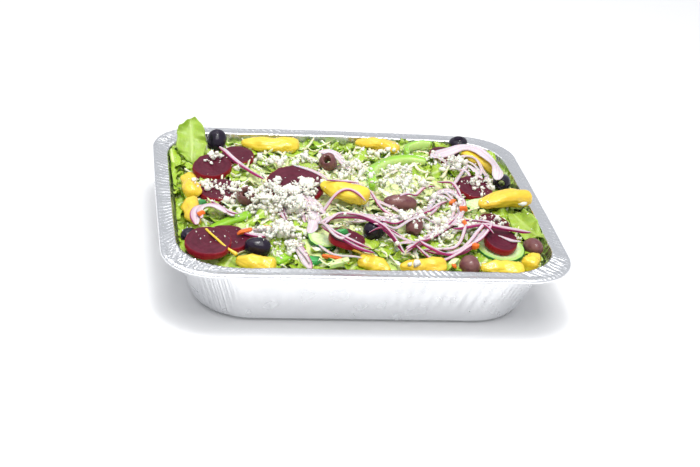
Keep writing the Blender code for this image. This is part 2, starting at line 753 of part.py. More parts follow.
def fuse_small_pieces(salad, heap, draw):
    """Union the small pieces that fit between the toppings with the bare heap."""
    bits = make_collection("small_pieces")
    core_points, core_faces = world_mesh(salad)
    core_tree = BVHTree.FromPolygons(core_points, core_faces)
    kept = []
    for kind, x, y, turn in heap_candidates(draw):
        item = heap_piece(kind, x, y, turn, bits, draw)
        points, faces = world_mesh(item)
        rooted = bool(BVHTree.FromPolygons(points, faces).overlap(core_tree))
        spaced = all((item.location - other.location).length > BIT_SPACING for other in kept)
        open_place = len(kept) < BIT_LIMIT and not in_free_space(points)
        if rooted and spaced and open_place and not heap.touches(swollen(points, faces, 0.0), faces):
            kept.append(item)
        else:
            bpy.data.objects.remove(item, do_unlink=True)
    joint = salad.modifiers.new("union", "BOOLEAN")
    joint.operation = "UNION"
    joint.operand_type = "COLLECTION"
    joint.collection = bits
    joint.solver = "MANIFOLD"
    graph = bpy.context.evaluated_depsgraph_get()
    whole = bpy.data.meshes.new_from_object(salad.evaluated_get(graph))
    salad.modifiers.clear()
    salad.data = keep_largest(whole)
    for item in list(bits.objects):
        bpy.data.objects.remove(item, do_unlink=True)
    bpy.data.collections.remove(bits)
    print("small pieces fused:", len(kept))


def keep_largest(mesh):
    """Drop loose scraps and sealed hollows: keep the largest connected shell."""
    shape = bmesh.new()
    shape.from_mesh(mesh)
    bmesh.ops.remove_doubles(shape, verts=shape.verts, dist=0.00001)
    bmesh.ops.triangulate(shape, faces=shape.faces)
    left = set(shape.verts)
    shells = []
    while left:
        front = [left.pop()]
        shell = set(front)
        while front:
            vertex = front.pop()
            for edge in vertex.link_edges:
                other = edge.other_vert(vertex)
                if other in left:
                    left.discard(other)
                    shell.add(other)
                    front.append(other)
        shells.append(shell)
    shells.sort(key=len)
    for shell in shells[:-1]:
        bmesh.ops.delete(shape, geom=list(shell), context="VERTS")
    shape.to_mesh(mesh)
    shape.free()
    return mesh


def main():
    """Build the pan, the heap and every topping."""
    remove_scene_objects()
    group = make_collection(NAME)
    materials = {
        "foil": make_material("foil", FOIL_COLOUR, 0.30, 1.0),
        "lettuce": make_material("lettuce", LETTUCE_COLOUR, 0.45),
        "beet": make_material("beet", BEET_COLOUR, 0.30),
        "pepperoncini": make_material("pepperoncini", PEPPER_COLOUR, 0.30),
        "olive": make_material("olive", OLIVE_COLOUR, 0.22),
        "brown_olive": make_material("brown_olive", BROWN_OLIVE_COLOUR, 0.28),
        "green_pepper": make_material("green_pepper", STRIP_COLOUR, 0.30),
        "cucumber": make_material("cucumber", CUCUMBER_COLOUR, 0.35),
        "onion": make_material("onion", ONION_COLOUR, 0.35),
    }
    pan = make_pan(group, materials["foil"])
    salad = make_core(group, materials["lettuce"])
    heap = Heap()
    heap.add(pan)
    heap.add(salad)
    make_toppings(group, materials, heap)
    heap.pieces.pop(1)
    fuse_small_pieces(salad, heap, Random(SEED))


main()
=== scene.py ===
"""Foil tray meal: a mixed salad in a half-size foil pan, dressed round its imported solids.

Metres, +Z up, the pan's long side along X. Tables of places are in millimetres and degrees.
"""
from math import cos, pi, radians, sin

import bmesh
import bpy
import numpy as np
from mathutils import Matrix, Vector
from mathutils.bvhtree import BVHTree


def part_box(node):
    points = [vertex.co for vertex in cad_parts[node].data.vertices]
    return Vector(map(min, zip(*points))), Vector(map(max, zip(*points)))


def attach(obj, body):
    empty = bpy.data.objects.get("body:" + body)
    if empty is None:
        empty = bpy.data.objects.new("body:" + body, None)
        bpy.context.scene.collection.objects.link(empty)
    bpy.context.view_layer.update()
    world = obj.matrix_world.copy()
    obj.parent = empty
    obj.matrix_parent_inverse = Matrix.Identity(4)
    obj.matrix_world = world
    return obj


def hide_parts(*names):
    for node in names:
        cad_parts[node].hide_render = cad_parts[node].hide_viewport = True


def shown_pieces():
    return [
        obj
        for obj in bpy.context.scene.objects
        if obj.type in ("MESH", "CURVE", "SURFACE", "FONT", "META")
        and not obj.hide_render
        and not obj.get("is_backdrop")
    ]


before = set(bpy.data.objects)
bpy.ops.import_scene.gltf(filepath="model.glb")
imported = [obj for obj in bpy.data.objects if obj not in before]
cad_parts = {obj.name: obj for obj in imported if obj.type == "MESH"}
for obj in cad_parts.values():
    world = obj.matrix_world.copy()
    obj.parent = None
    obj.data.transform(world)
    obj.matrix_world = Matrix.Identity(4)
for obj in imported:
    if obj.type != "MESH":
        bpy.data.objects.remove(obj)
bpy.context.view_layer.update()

bl_info = {
    "name": "Foil Tray Meal",
    "version": (1, 0, 0),
    "blender": (4, 5, 0),
    "location": "3D View > Sidebar > Meal",
    "description": "Dresses the packed solids of a salad in a foil pan",
    "category": "Add Mesh",
}

MM = 0.001
SEED = 11
WELD = 1e-6
GOLDEN_ANGLE = 2.399963

# Pan and bed, as in the solids
RIM_LENGTH, RIM_WIDTH, RIM_HEIGHT, RIM_CORNER = 0.3240, 0.2640, 0.0570, 0.0400
OPENING_INSET, OPENING_CORNER = 0.0120, 0.0430
BASE_INSET, BASE_CORNER = 0.0340, 0.0440
HEEL_HEIGHT, HEEL_INSET = 0.0090, 0.0260
FOOT_HEIGHT, FOOT_INSET = 0.0018, 0.0292
CURL = 0.0020
# Pleats in a corner, coarse and fine; depth of the pleats and of the flange's ripples
CORNER_PLEATS, FINE_PLEATS = 15, 27
PLEAT_DEPTH, RIPPLE_DEPTH = 0.00030, 0.00009
BOW_BACK, BOW_SIDE = 0.0040, 0.00115
MIDDLE_Y = -BOW_BACK / 2
BED_EDGE, BED_RISE, BED_TILT = 0.0455, 0.0105, 0.025
BED_HALF_X, BED_HALF_Y, BED_POWER = 0.1480, 0.1180, 2.5

# Toppings

# name, x, y, radius, thickness, way it tips towards, tip
BEETS = (
    ("back_left_far", -91, 71, 14, 5.5, 240, 6),
    ("back_left", -114, 48, 16.5, 6.5, 250, 10),
    ("left", -110, 8, 17, 6.0, 200, 6),
    ("front_left_far", -109, -69, 17.5, 6.0, 270, 3),
    ("front_left", -125, -86, 18, 6.5, 240, 10),
    ("middle", -49, 5, 24, 6.0, 250, 14),
    ("front", -17, -79, 15, 6.0, 20, 10),
    ("right", 109, 22, 16, 5.5, 280, 8),
    ("back_right", 98, 94, 13.5, 6.0, 90, 4),
    ("right_slanted", 114, -36, 14, 5.0, 340, 12),
    ("front_right", 110, -73, 14, 6.0, 290, 12),
)

# name, x, y, radius, thickness, arc start, arc sweep, way it tips towards, tip
CUCUMBERS = (
    ("front_right", 111, -72, 20, 4.5, 0, 360, 290, 6),
    ("right", 103, 0, 14, 5.0, 200, 180, 270, 6),
    ("front", -33, -70, 13, 5.0, 150, 200, 280, 10),
    ("front_middle", -25, -91, 10, 5.0, 180, 180, 280, 6),
)

# name, x, y, turn, pitch over the bed's slope, length, radius, sideways bend, ripeness from yellow to orange
PEPPERS = (
    ("back", -60, 93, 172, 0, 52, 8.5, 3, 0.15),
    ("back_middle", 38, 101, 152, 0, 42, 7.5, -3, 0.40),
    ("left_back", -135, 15, 92, 0, 38, 7.5, 2, 0.30),
    ("left_front", -135, -27, 275, 0, 38, 7.5, -3, 0.35),
    ("front_left", -90, -106, 160, 0, 32, 8.5, 0, 0.25),
    ("middle", -11, -16, 148, 0, 44, 9.5, 2, 0.10),
    ("back_right", 130, 76, 305, 0, 46, 7.5, 4, 0.15),
    ("right", 127, -8, 195, 10, 50, 9.0, -3, 0.50),
    ("front_middle", 3, -105, 330, 0, 27, 7.5, 2, 0.35),
    ("front", 41, -107, 184, 0, 38, 8.0, 1, 0.45),
    ("front_right", 104.5, -106, 176, 0, 36, 8.0, -2, 0.10),
    ("corner", 133, -92, 55, 0, 22, 7.0, 1, 0.20),
)
# Width along a pepper, from its wide end to its tip
PEPPER_SHAPE = ((-0.500, 0.10), (-0.488, 0.42), (-0.460, 0.70), (-0.38, 0.94), (-0.20, 1.00), (-0.02, 0.86),
                (0.16, 0.90), (0.34, 0.64), (0.46, 0.40), (0.490, 0.24), (0.500, 0.06))
# Stems: pepper, route
STEMS = (
    ("front_left", ((-127, -72, 63), (-124, -79, 63), (-119, -88, 62.5), (-113, -95, 60), (-104, -101, 56))),
    ("front_middle", ((-30, -77, 57), (-22, -84, 57), (-14, -92, 58), (-6, -99, 58), (0, -103, 57))),
)

# name, x, y, turn, pitch, length, radius, hole radius
OLIVES = (
    ("left_corner", -139, -62, 60, 0, 15, 6.0, 0.0),
    ("front_left", -87, -86, 170, 0, 20, 7.5, 2.4),
    ("front", 8, -63, 20, -20, 18, 8.0, 0.0),
    ("brown_front", 78.5, -105, 95, 0, 18, 8.0, 0.0),
    ("back_left", -107, 96, 70, -50, 19, 8.5, 3.0),
    ("ring_back", 113, 109, 0, 80, 8, 8.5, 3.6),
    ("back_right", 137, 36, 250, -20, 20, 8.0, 3.0),
    ("brown_back", -15, 49, 250, -40, 18, 8.0, 3.0),
    ("brown_left", -90, -13, 250, -45, 18, 8.0, 3.0),
    ("brown_middle", 42, -56, 60, -30, 16, 7.0, 2.6),
    ("brown_long", 37, -17, 175, 0, 28, 7.0, 0.0),
    ("brown_right", 139, -70, 110, 10, 20, 7.0, 0.0),
)

# name, route, width, height
STRIPS = (
    ("strip_back", ((18, 12), (22, 38), (36, 59), (58, 71), (76, 68)), 8.0, 9.0),
    ("ring_back", ((61, 84), (64, 99), (76, 106), (87, 100)), 5.5, 8.0),
    ("strip_left", ((-122, -50), (-105, -40), (-88, -29)), 9.0, 4.5),
    ("strip_front", ((-74, -100), (-64, -92), (-56, -82)), 8.0, 4.5),
)

# name, route, width, height, side of the dark skin
ONIONS = (
    ("ring_back", ((80, 66), (92, 82), (112, 92), (126, 84), (133, 66), (134, 44), (128, 22)), 10.0, 2.2, 0.3),
    ("sliver_back", ((113, 67), (101, 41), (88, 14)), 3.0, 2.4, -1),
    ("sliver_left", ((-107, 75), (-91, 45), (-73, 16)), 4.2, 2.6, -1),
    ("half_left", ((-133, -57), (-134, -42), (-127, -30), (-117, -27), (-108, -32), (-102, -40)), 8.0, 2.2, 1),
    ("loop_left", ((-69, -59), (-82, -62), (-95, -62), (-97, -68), (-83, -70), (-70, -64)), 3.0, 2.2, -1),
    ("curl_middle", ((-62, -47), (-64, -28), (-56, -15), (-46, -15), (-40, -28), (-38, -44)), 3.4, 3.2, 1),
    ("wedge_front", ((-62, -74), (-55, -88), (-50, -101), (-48, -111)), 8.0, 3.0, 1),
    ("arc_middle", ((-35, -52), (-21, -43), (-9, -50), (3, -62), (17, -76), (27, -98)), 3.8, 2.6, -1),
    ("arc_front", ((-36, -66), (-28, -84), (-14, -98), (2, -104)), 3.4, 2.6, -1),
    ("teardrop", ((28, -96), (50, -72), (67, -56), (80, -41), (88, -24), (91, -6), (84, 8), (72, 1),
                  (62, -20), (49, -36), (38, -43), (21, -46), (8, -42), (-6, -38)), 4.0, 2.6, -1),
    ("ring_right", ((41, -86), (48, -93), (60, -96), (76, -90), (91, -78), (100, -66), (97, -54), (84, -50),
                    (72, -54)), 4.4, 2.6, -1),
    ("top_right", ((72, -62), (85, -66), (98, -68), (119, -66), (138, -62)), 3.4, 2.8, -1),
)
ONION_STEP, STRIP_STEP = 0.0011, 0.0012
# Slivers that lie loose over the toppings: route, width, height, side of the dark skin
SLIVERS = (
    (((-3, -14), (12, -12), (26, -22), (42, -39)), 3.6, 1.6, 1),
    (((8, -18), (19, -31), (35, -41), (57, -31), (80, -4)), 3.0, 1.8, -1),
    (((5, -70), (20, -66), (35, -60), (52, -50), (68, -46)), 3.0, 1.8, 1),
    (((10, -60), (28, -57), (46, -46), (62, -30), (74, -8)), 2.6, 1.6, -1),
    (((76, -46), (88, -40), (97, -52), (104, -68)), 3.2, 1.8, -1),
    (((108, -70), (117, -77), (127, -75)), 2.8, 1.8, 1),
    (((-44, -22), (-38, -36), (-39, -50), (-45, -68)), 9.0, 1.6, 0.3),
    (((-34, -34), (-22, -25), (-8, -23), (4, -38)), 3.2, 1.6, -1),
    (((-32, -37), (-35, -60), (-31, -80), (-24, -93), (-14, -84)), 3.0, 1.8, 1),
    (((-39, -80), (-31, -91), (-20, -98), (-8, -106)), 2.8, 1.8, 1),
    (((-122, -8), (-115, -24), (-107, -34), (-98, -38)), 2.8, 1.8, -1),
    (((-26, -10), (-12, -13), (2, -11)), 2.6, 1.6, -1),
    (((-52, -24), (-42, -18), (-32, -22), (-28, -36)), 6.0, 1.6, 0.3),
    (((-54, -27), (-47, -36), (-46, -51)), 3.4, 1.6, 1),
    (((78, 33), (88, 24), (93, -2)), 3.0, 1.8, -1),
    (((81, 72), (94, 66), (108, 68), (118, 56), (120, 40)), 6.0, 1.6, 0.3),
    (((86, 56), (97, 54), (107, 50), (110, 38)), 3.4, 1.6, 1),
    (((-48, 27), (-34, 19), (-20, 8)), 3.0, 1.8, 1),
    (((-24, 53), (-10, 50), (4, 40)), 7.0, 1.6, 0.3),
    (((36, -19), (52, -2), (64, 12), (76, 26)), 3.2, 1.6, -1),
    (((17, -48), (30, -45), (40, -58)), 2.6, 1.6, 1),
    (((82, -54), (93, -66), (102, -78)), 2.8, 1.8, -1),
    (((2, -70), (13, -73), (26, -82)), 2.8, 1.6, -1),
    (((-12, -44), (4, -52), (20, -64), (38, -84)), 3.0, 1.6, 1),
    (((44, -84), (60, -86), (76, -76), (84, -62)), 2.8, 1.6, -1),
    (((24, -88), (40, -76), (56, -60), (66, -42)), 3.2, 1.6, 1),
)

# name, x, y, turn, pitch, roll, length, width, ruffle, cupping
RIM_LEAVES = (
    ("leaf_back_left", -130, 84, 92, -38, 0, 43, 26, 2.0, 2.5),
    ("leaf_right", 141, -36, 285, 0, 32, 42, 21, 2.0, 2.0),
)

# Bright leaves seen between the toppings: x, y, turn, length, width, lift
LEAF_SPOTS = (
    (-143, 66, 80, 30, 20, 4), (-139, 82, 60, 26, 18, 5), (-146, 50, 100, 24, 16, 3),
    (-148, 78, 95, 26, 15, 6), (-9, 104, 10, 26, 15, 4), (6, 95, 30, 24, 14, 4), (18, 80, 70, 28, 14, 5),
    (-34, 96, 20, 26, 15, 3), (-96, 42, 30, 20, 13, 4), (-88, 52, 50, 20, 12, 4), (-95, -112, 5, 26, 12, 3),
    (-76, -114, 175, 26, 12, 3), (-50, -111, 8, 24, 13, 4), (-36, -104, 160, 24, 14, 3),
    (-64, -96, 40, 22, 14, 4), (-55, -100, 120, 20, 12, 5), (52, -84, 30, 24, 16, 6),
    (60, -98, 80, 24, 17, 6), (70, -99, 110, 22, 15, 5), (50, -112, 10, 26, 13, 3),
    (62, -112, 170, 22, 12, 4), (136, -44, 300, 28, 15, 5), (146, -24, 90, 28, 14, 6),
    (122, -20, 20, 24, 14, 5), (118, 44, 60, 24, 14, 4), (126, 54, 110, 22, 13, 4),
    (142, 62, 95, 24, 12, 3), (-125, -112, 20, 24, 12, 2), (-150, 40, 92, 30, 14, 8),
    (-149, 8, 85, 30, 14, 8), (-148, -22, 95, 30, 14, 7), (-147, -50, 88, 28, 13, 7),
    (-146, 66, 96, 30, 16, 9), (-138, 96, 40, 28, 16, 7), (-147, -76, 95, 26, 12, 6),
    (-132, 60, 130, 24, 16, 6),
)

# Crumbled cheese: x, y, spread along X, spread along Y, crumbs, smallest, largest
CRUMB_HEAPS = (
    (-111, 56, 6, 4, 24, 2.0, 6.5), (-91, 41, 3, 3, 8, 1.8, 5.0), (-119, 13, 6, 4, 45, 1.8, 5.5),
    (-103, 6, 6, 4, 45, 1.8, 5.5), (-87, -20, 5, 5, 40, 1.8, 5.0), (-97, -9, 9, 3, 55, 1.8, 5.0),
    (-40, -5, 7, 6, 170, 1.8, 6.0), (-70, -4, 5, 4, 90, 1.8, 5.5), (-57, -19, 7, 6, 150, 1.8, 6.0),
    (-74, -26, 9, 8, 220, 1.8, 6.5), (-49, -35, 8, 9, 190, 1.8, 6.0), (-67, -69, 8, 8, 200, 1.8, 6.5),
    (-62, -89, 5, 4, 50, 1.8, 5.0), (-63, 60, 8, 6, 60, 1.8, 6.0), (-34, 58, 10, 7, 60, 1.8, 6.0),
    (96, 63, 9, 8, 110, 1.8, 6.0), (114, 24, 8, 5, 60, 1.8, 5.5), (72, -12, 10, 12, 110, 1.6, 5.0),
    (108, -35, 8, 5, 30, 1.8, 5.5), (48, -42, 20, 13, 220, 1.6, 5.5), (44, 20, 12, 8, 170, 1.8, 6.0),
    (2, 42, 9, 14, 150, 1.8, 6.0), (46, 42, 9, 6, 80, 1.8, 6.0), (64, -64, 12, 7, 90, 1.6, 5.0),
    (-10, -12, 8, 6, 30, 1.4, 4.0), (91, -48, 7, 5, 40, 1.6, 4.5), (-10, -50, 14, 8, 60, 1.6, 4.5),
    (34, 84, 20, 7, 50, 1.8, 5.5), (-112, -76, 16, 12, 24, 1.0, 2.4), (20, 0, 70, 55, 230, 1.0, 2.6),
    (48, -22, 34, 22, 130, 1.0, 2.4),
)
# Share of a heap's crumbs that are broad flat lumps, and how high crumbs may pile over the bed
FLAT_LUMPS, PILE_HEIGHT = 0.07, 0.0185
# How far under the bed the underside of a topping is looked for
TOPPING_SINK = 0.016
# Single cubes of cheese: x, y, size
CHEESE_CUBES = (
    (143, -12, 9.0), (136, -13, 6.0), (34, -112, 7.5), (29, -111, 5.0), (22, -90, 6.0), (-62, 8, 8.0),
)

# Carrot sticks: x, y, turn, length, width
CARROTS = (
    (84, -8, 70, 10, 3.8), (90, -22, 20, 10, 4.6), (85, -50, 100, 14, 3.6), (84, -88, 110, 14, 4.2),
    (-129, -46, 30, 7, 3.6), (-96, -68, 20, 12, 3.2), (-30, -97, 160, 17, 3.0), (-24, -101, 150, 14, 2.6),
    (-122, 25, 40, 10, 3.0), (-104, 29, 10, 12, 2.6), (-78, -54, 15, 10, 2.6), (66, -104, 80, 9, 3.4),
)

# The small pale and dark chunks: x, y, turn, length, width, height
PALE_CHUNKS = (
    (101, -15, 60, 8, 7, 6), (-25, -103, 10, 14, 6, 4), (107, -20, 20, 6, 5, 5), (66, -101, 40, 9, 5, 5),
)
DARK_CHUNKS = ((-127, -12, 60, 13, 8, 5), (-20, -74, 30, 9, 6, 5), (-43, -99, 10, 8, 5, 4))

# Slivers nested in the onion slices: slice, size beside it, width
NESTED = (
    ("teardrop", 0.91, 3.0), ("teardrop", 0.80, 2.6), ("teardrop", 1.07, 2.6), ("ring_right", 0.84, 3.0),
    ("ring_right", 1.14, 2.6), ("arc_middle", 0.90, 2.8), ("arc_front", 0.88, 2.6), ("ring_back", 0.62, 4.5),
    ("ring_back", 0.42, 4.0), ("half_left", 0.70, 6.0), ("loop_left", 0.74, 2.4),
    ("curl_middle", 0.70, 3.0), ("curl_middle", 0.45, 3.0), ("wedge_front", 0.80, 3.0),
)


class MealSizes(bpy.types.PropertyGroup):
    """Sizes and counts that change how full and how fine the meal is."""
    foil: bpy.props.FloatProperty(name="Foil", description="Thickness of the pan's foil", default=0.0004,
                                  unit="LENGTH")
    flute: bpy.props.FloatProperty(name="Flute depth", description="Depth of the wall's flutes",
                                   default=0.0003, unit="LENGTH")
    pitch: bpy.props.FloatProperty(name="Flute pitch", description="Distance between the wall's flutes",
                                   default=0.0098, unit="LENGTH")
    leaves: bpy.props.IntProperty(name="Leaves", description="Cut lettuce leaves spread over the bed",
                                  default=300)
    shreds: bpy.props.IntProperty(name="Shreds", description="Pale shreds spread over the bed", default=430)
    crumbs: bpy.props.FloatProperty(name="Crumbs", description="Share of the cheese crumbs that is laid",
                                    default=1.0, subtype="FACTOR")


def colour_choice(name, words, default):
    """A colour that the panel offers."""
    return bpy.props.FloatVectorProperty(name=name, description=words, subtype="COLOR", size=3,
                                         default=default, min=0.0, max=1.0)


class MealColours(bpy.types.PropertyGroup):
    """Colours of the meal, in linear values."""
    foil: colour_choice("Foil", "Bright aluminium", (0.95, 0.957, 0.972))
    leaf: colour_choice("Leaf", "Lettuce leaf", (0.38, 0.56, 0.028))
    leaf_dark: colour_choice("Dark leaf", "Shaded or outer lettuce leaf", (0.11, 0.33, 0.020))
    leaf_pale: colour_choice("Pale leaf", "Rib and heart of the lettuce", (0.70, 0.80, 0.36))
    shred: colour_choice("Shred", "Pale shredded heart", (0.82, 0.80, 0.55))
    cheese: colour_choice("Cheese", "Crumbled white cheese", (0.90, 0.88, 0.79))
    beet: colour_choice("Beet", "Cut face of a beet slice", (0.090, 0.007, 0.022))
    beet_side: colour_choice("Beet side", "Wet side of a beet slice", (0.30, 0.008, 0.020))
    pepper: colour_choice("Pepper", "Pickled yellow pepper", (0.84, 0.66, 0.045))
    pepper_ripe: colour_choice("Ripe pepper", "Riper, more orange pepper", (0.86, 0.47, 0.020))
    olive: colour_choice("Olive", "Black olive", (0.008, 0.006, 0.013))
    olive_brown: colour_choice("Brown olive", "Purple-brown olive", (0.13, 0.042, 0.052))
    green: colour_choice("Green pepper", "Skin of the green pepper", (0.30, 0.60, 0.030))
    green_pale: colour_choice("Green pepper inside", "Inner wall of the green pepper", (0.58, 0.78, 0.24))
    skin: colour_choice("Cucumber skin", "Dark skin of a cucumber", (0.015, 0.16, 0.03))
    flesh: colour_choice("Cucumber flesh", "Flesh of a cucumber", (0.66, 0.82, 0.42))
    onion: colour_choice("Onion", "Flesh of the red onion", (0.70, 0.62, 0.66))
    onion_skin: colour_choice("Onion skin", "Dark edge of the red onion", (0.34, 0.022, 0.13))
    carrot: colour_choice("Carrot", "Carrot", (0.86, 0.17, 0.012))
    floor: colour_choice("Floor", "Plain white floor", (0.81, 0.81, 0.81))


def sizes():
    """The scene's sizes."""
    return bpy.context.scene.meal_sizes


def colours():
    """The scene's colours."""
    return bpy.context.scene.meal_colours


# Grids and fields

def quads(rows, columns, round_rows=False, round_columns=True, copies=1):
    """Faces of one or more grids of points: a point, its neighbour in the row, and the two in the next row."""
    row, column = np.meshgrid(np.arange(rows if round_rows else rows - 1),
                              np.arange(columns if round_columns else columns - 1), indexing="ij")
    after_row = (row + 1) % rows
    after_column = (column + 1) % columns
    faces = np.stack((row * columns + column, row * columns + after_column,
                      after_row * columns + after_column, after_row * columns + column), -1).reshape(-1, 4)
    shift = np.arange(copies)[:, None, None] * rows * columns
    return (faces[None] + shift).reshape(-1, 4)


def field(points, size, seed):
    """A smooth random value at each point: sines along seeded directions of about this wave length, summed."""
    draw = np.random.default_rng(seed)
    value = np.zeros(points.shape[:-1])
    for octave in range(2):
        directions = draw.normal(size=(6, 3))
        directions *= 2 * pi * 2 ** octave / size / np.linalg.norm(directions, axis=1, keepdims=True)
        phases = draw.uniform(0, 2 * pi, 6)
        value += np.sin(points @ directions.T + phases).sum(-1) / 2 ** octave
    return value / 3


def turn_matrix(turn, pitch=0.0, roll=0.0):
    """Turned about Z after a pitch about Y after a roll about X, in degrees."""
    return np.array(Matrix.Rotation(radians(turn), 3, "Z") @ Matrix.Rotation(radians(pitch), 3, "Y")
                    @ Matrix.Rotation(radians(roll), 3, "X"))


def laid(points, node, x, y, turn, pitch=0.0, roll=0.0):
    """Points turned, moved over their spot, and raised so that they fill the height of their solid."""
    placed = points @ turn_matrix(turn, pitch, roll).T + np.array((x * MM, y * MM, 0.0))
    low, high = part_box(node)
    placed[..., 2] += (low.z + high.z) / 2 - (placed[..., 2].min() + placed[..., 2].max()) / 2
    return placed


def bed_height(x, y):
    """Height of the bed: gently domed, and a little higher at the back."""
    share_x = np.maximum(0.0, 1 - np.abs(x / BED_HALF_X) ** BED_POWER)
    share_y = np.maximum(0.0, 1 - np.abs(y / BED_HALF_Y) ** BED_POWER)
    return BED_EDGE + BED_TILT * y + BED_RISE * share_x * share_y


def inside_pan(points, margin):
    """Points outside the pan's opening pulled back to it, along the way out of a rounded rectangle."""
    slope = (HEEL_INSET - OPENING_INSET) / (RIM_HEIGHT - HEEL_HEIGHT)
    inset = OPENING_INSET + slope * np.maximum(0.0, RIM_HEIGHT - points[..., 2]) + margin
    half = np.stack((RIM_LENGTH / 2 - inset, RIM_WIDTH / 2 - inset), -1) - OPENING_CORNER
    place = points[..., :2] - np.array((0.0, MIDDLE_Y))
    out = np.abs(place) - half
    reach = np.linalg.norm(np.maximum(out, 0), axis=-1)
    excess = np.where(reach > 0, reach, out.max(-1)) - OPENING_CORNER
    way = np.maximum(out, 1e-9) / np.maximum(reach, 1e-9)[..., None] * np.sign(place)
    moved = points.copy()
    low_enough = (points[..., 2] < RIM_HEIGHT + 0.004)[..., None]
    moved[..., :2] -= np.where((excess > 0)[..., None] & low_enough, way * excess[..., None], 0.0)
    return moved


def smooth_path(route, spacing):
    """Points about one spacing apart on a Catmull-Rom curve through the route."""
    knots = np.array(route, float) * MM
    knots = np.vstack((2 * knots[0] - knots[1], knots, 2 * knots[-1] - knots[-2]))
    path = []
    for index in range(1, len(knots) - 2):
        before, start, end, after = knots[index - 1:index + 3]
        count = max(1, round(float(np.linalg.norm(end - start)) / spacing))
        share = (np.arange(count) / count)[:, None]
        path.append(0.5 * (2 * start + (end - before) * share
                           + (2 * before - 5 * start + 4 * end - after) * share ** 2
                           + (3 * start - before - 3 * end + after) * share ** 3))
    return np.vstack(path + [knots[-2][None]])


def smoothed(values, passes):
    """Values averaged with their neighbours along the first axis; the ends stay."""
    values = values.copy()
    for _ in range(passes):
        values[1:-1] = (values[:-2] + 2 * values[1:-1] + values[2:]) / 4
    return values


def marks_for(points, along, across, tint):
    """Three marks at each point for the materials: place along, place across or round, and a tint."""
    return np.stack(np.broadcast_arrays(along, across, np.broadcast_to(tint, points.shape[:-1])), -1)


def add_piece(name, parts, material, node=None, smooth=True):
    """One object at the origin from parts of (points, faces, marks), doubles merged and faces outward."""
    starts = np.cumsum([0] + [part[0].reshape(-1, 3).shape[0] for part in parts[:-1]])
    points = np.vstack([part[0].reshape(-1, 3) for part in parts])
    faces = np.vstack([part[1] + start for part, start in zip(parts, starts)])
    marks = np.vstack([part[2].reshape(-1, 3) for part in parts])
    mesh = bpy.data.meshes.new(name)
    mesh.vertices.add(len(points))
    mesh.vertices.foreach_set("co", points.astype(np.float32).ravel())
    mesh.loops.add(faces.size)
    mesh.loops.foreach_set("vertex_index", faces.astype(np.int32).ravel())
    mesh.polygons.add(len(faces))
    mesh.polygons.foreach_set("loop_start", np.arange(len(faces), dtype=np.int32) * faces.shape[1])
    mesh.update(calc_edges=True)
    layer = mesh.attributes.new("marks", "FLOAT_VECTOR", "POINT")
    layer.data.foreach_set("vector", marks.astype(np.float32).ravel())
    shape = bmesh.new()
    shape.from_mesh(mesh)
    bmesh.ops.remove_doubles(shape, verts=shape.verts, dist=WELD)
    bmesh.ops.recalc_face_normals(shape, faces=shape.faces)
    shape.to_mesh(mesh)
    shape.free()
    if smooth:
        mesh.shade_smooth()
    mesh.materials.append(material)
    item = bpy.data.objects.new(name, mesh)
    bpy.context.scene.collection.objects.link(item)
    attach(item, "root")
    if node:
        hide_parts(node)


# Materials

def surface_group():
    """The shader group that the foods share: slow patches of colour, and a fine grain for their surface."""
    known = bpy.data.node_groups.get("food_surface")
    if known:
        return known
    group = bpy.data.node_groups.new("food_surface", "ShaderNodeTree")
    group.interface.new_socket("Place", in_out="INPUT", socket_type="NodeSocketVector")
    for name, value in (("Patch scale", 60.0), ("Grain scale", 600.0), ("Contrast", 0.5)):
        group.interface.new_socket(name, in_out="INPUT", socket_type="NodeSocketFloat").default_value = value
    group.interface.new_socket("Patches", in_out="OUTPUT", socket_type="NodeSocketFloat")
    group.interface.new_socket("Grain", in_out="OUTPUT", socket_type="NodeSocketFloat")
    given, result = group.nodes.new("NodeGroupInput"), group.nodes.new("NodeGroupOutput")
    patch = group.nodes.new("ShaderNodeTexNoise")
    patch.inputs["Detail"].default_value = 3
    grain = group.nodes.new("ShaderNodeTexNoise")
    grain.inputs["Detail"].default_value = 4
    spread = group.nodes.new("ShaderNodeMapRange")
    links = [(given.outputs["Place"], patch.inputs["Vector"]),
             (given.outputs["Place"], grain.inputs["Vector"]),
             (given.outputs["Patch scale"], patch.inputs["Scale"]),
             (given.outputs["Grain scale"], grain.inputs["Scale"]),
             (patch.outputs["Fac"], spread.inputs["Value"]),
             (spread.outputs["Result"], result.inputs["Patches"]),
             (grain.outputs["Fac"], result.inputs["Grain"])]
    for operation, limit in (("SUBTRACT", "From Min"), ("ADD", "From Max")):
        share = group.nodes.new("ShaderNodeMath")
        share.operation = "MULTIPLY"
        share.inputs[1].default_value = 0.25
        bound = group.nodes.new("ShaderNodeMath")
        bound.operation = operation
        bound.inputs[0].default_value = 0.5
        links += [(given.outputs["Contrast"], share.inputs[0]), (share.outputs[0], bound.inputs[1]),
                  (bound.outputs[0], spread.inputs[limit])]
    for source, target in links:
        group.links.new(source, target)
    return group


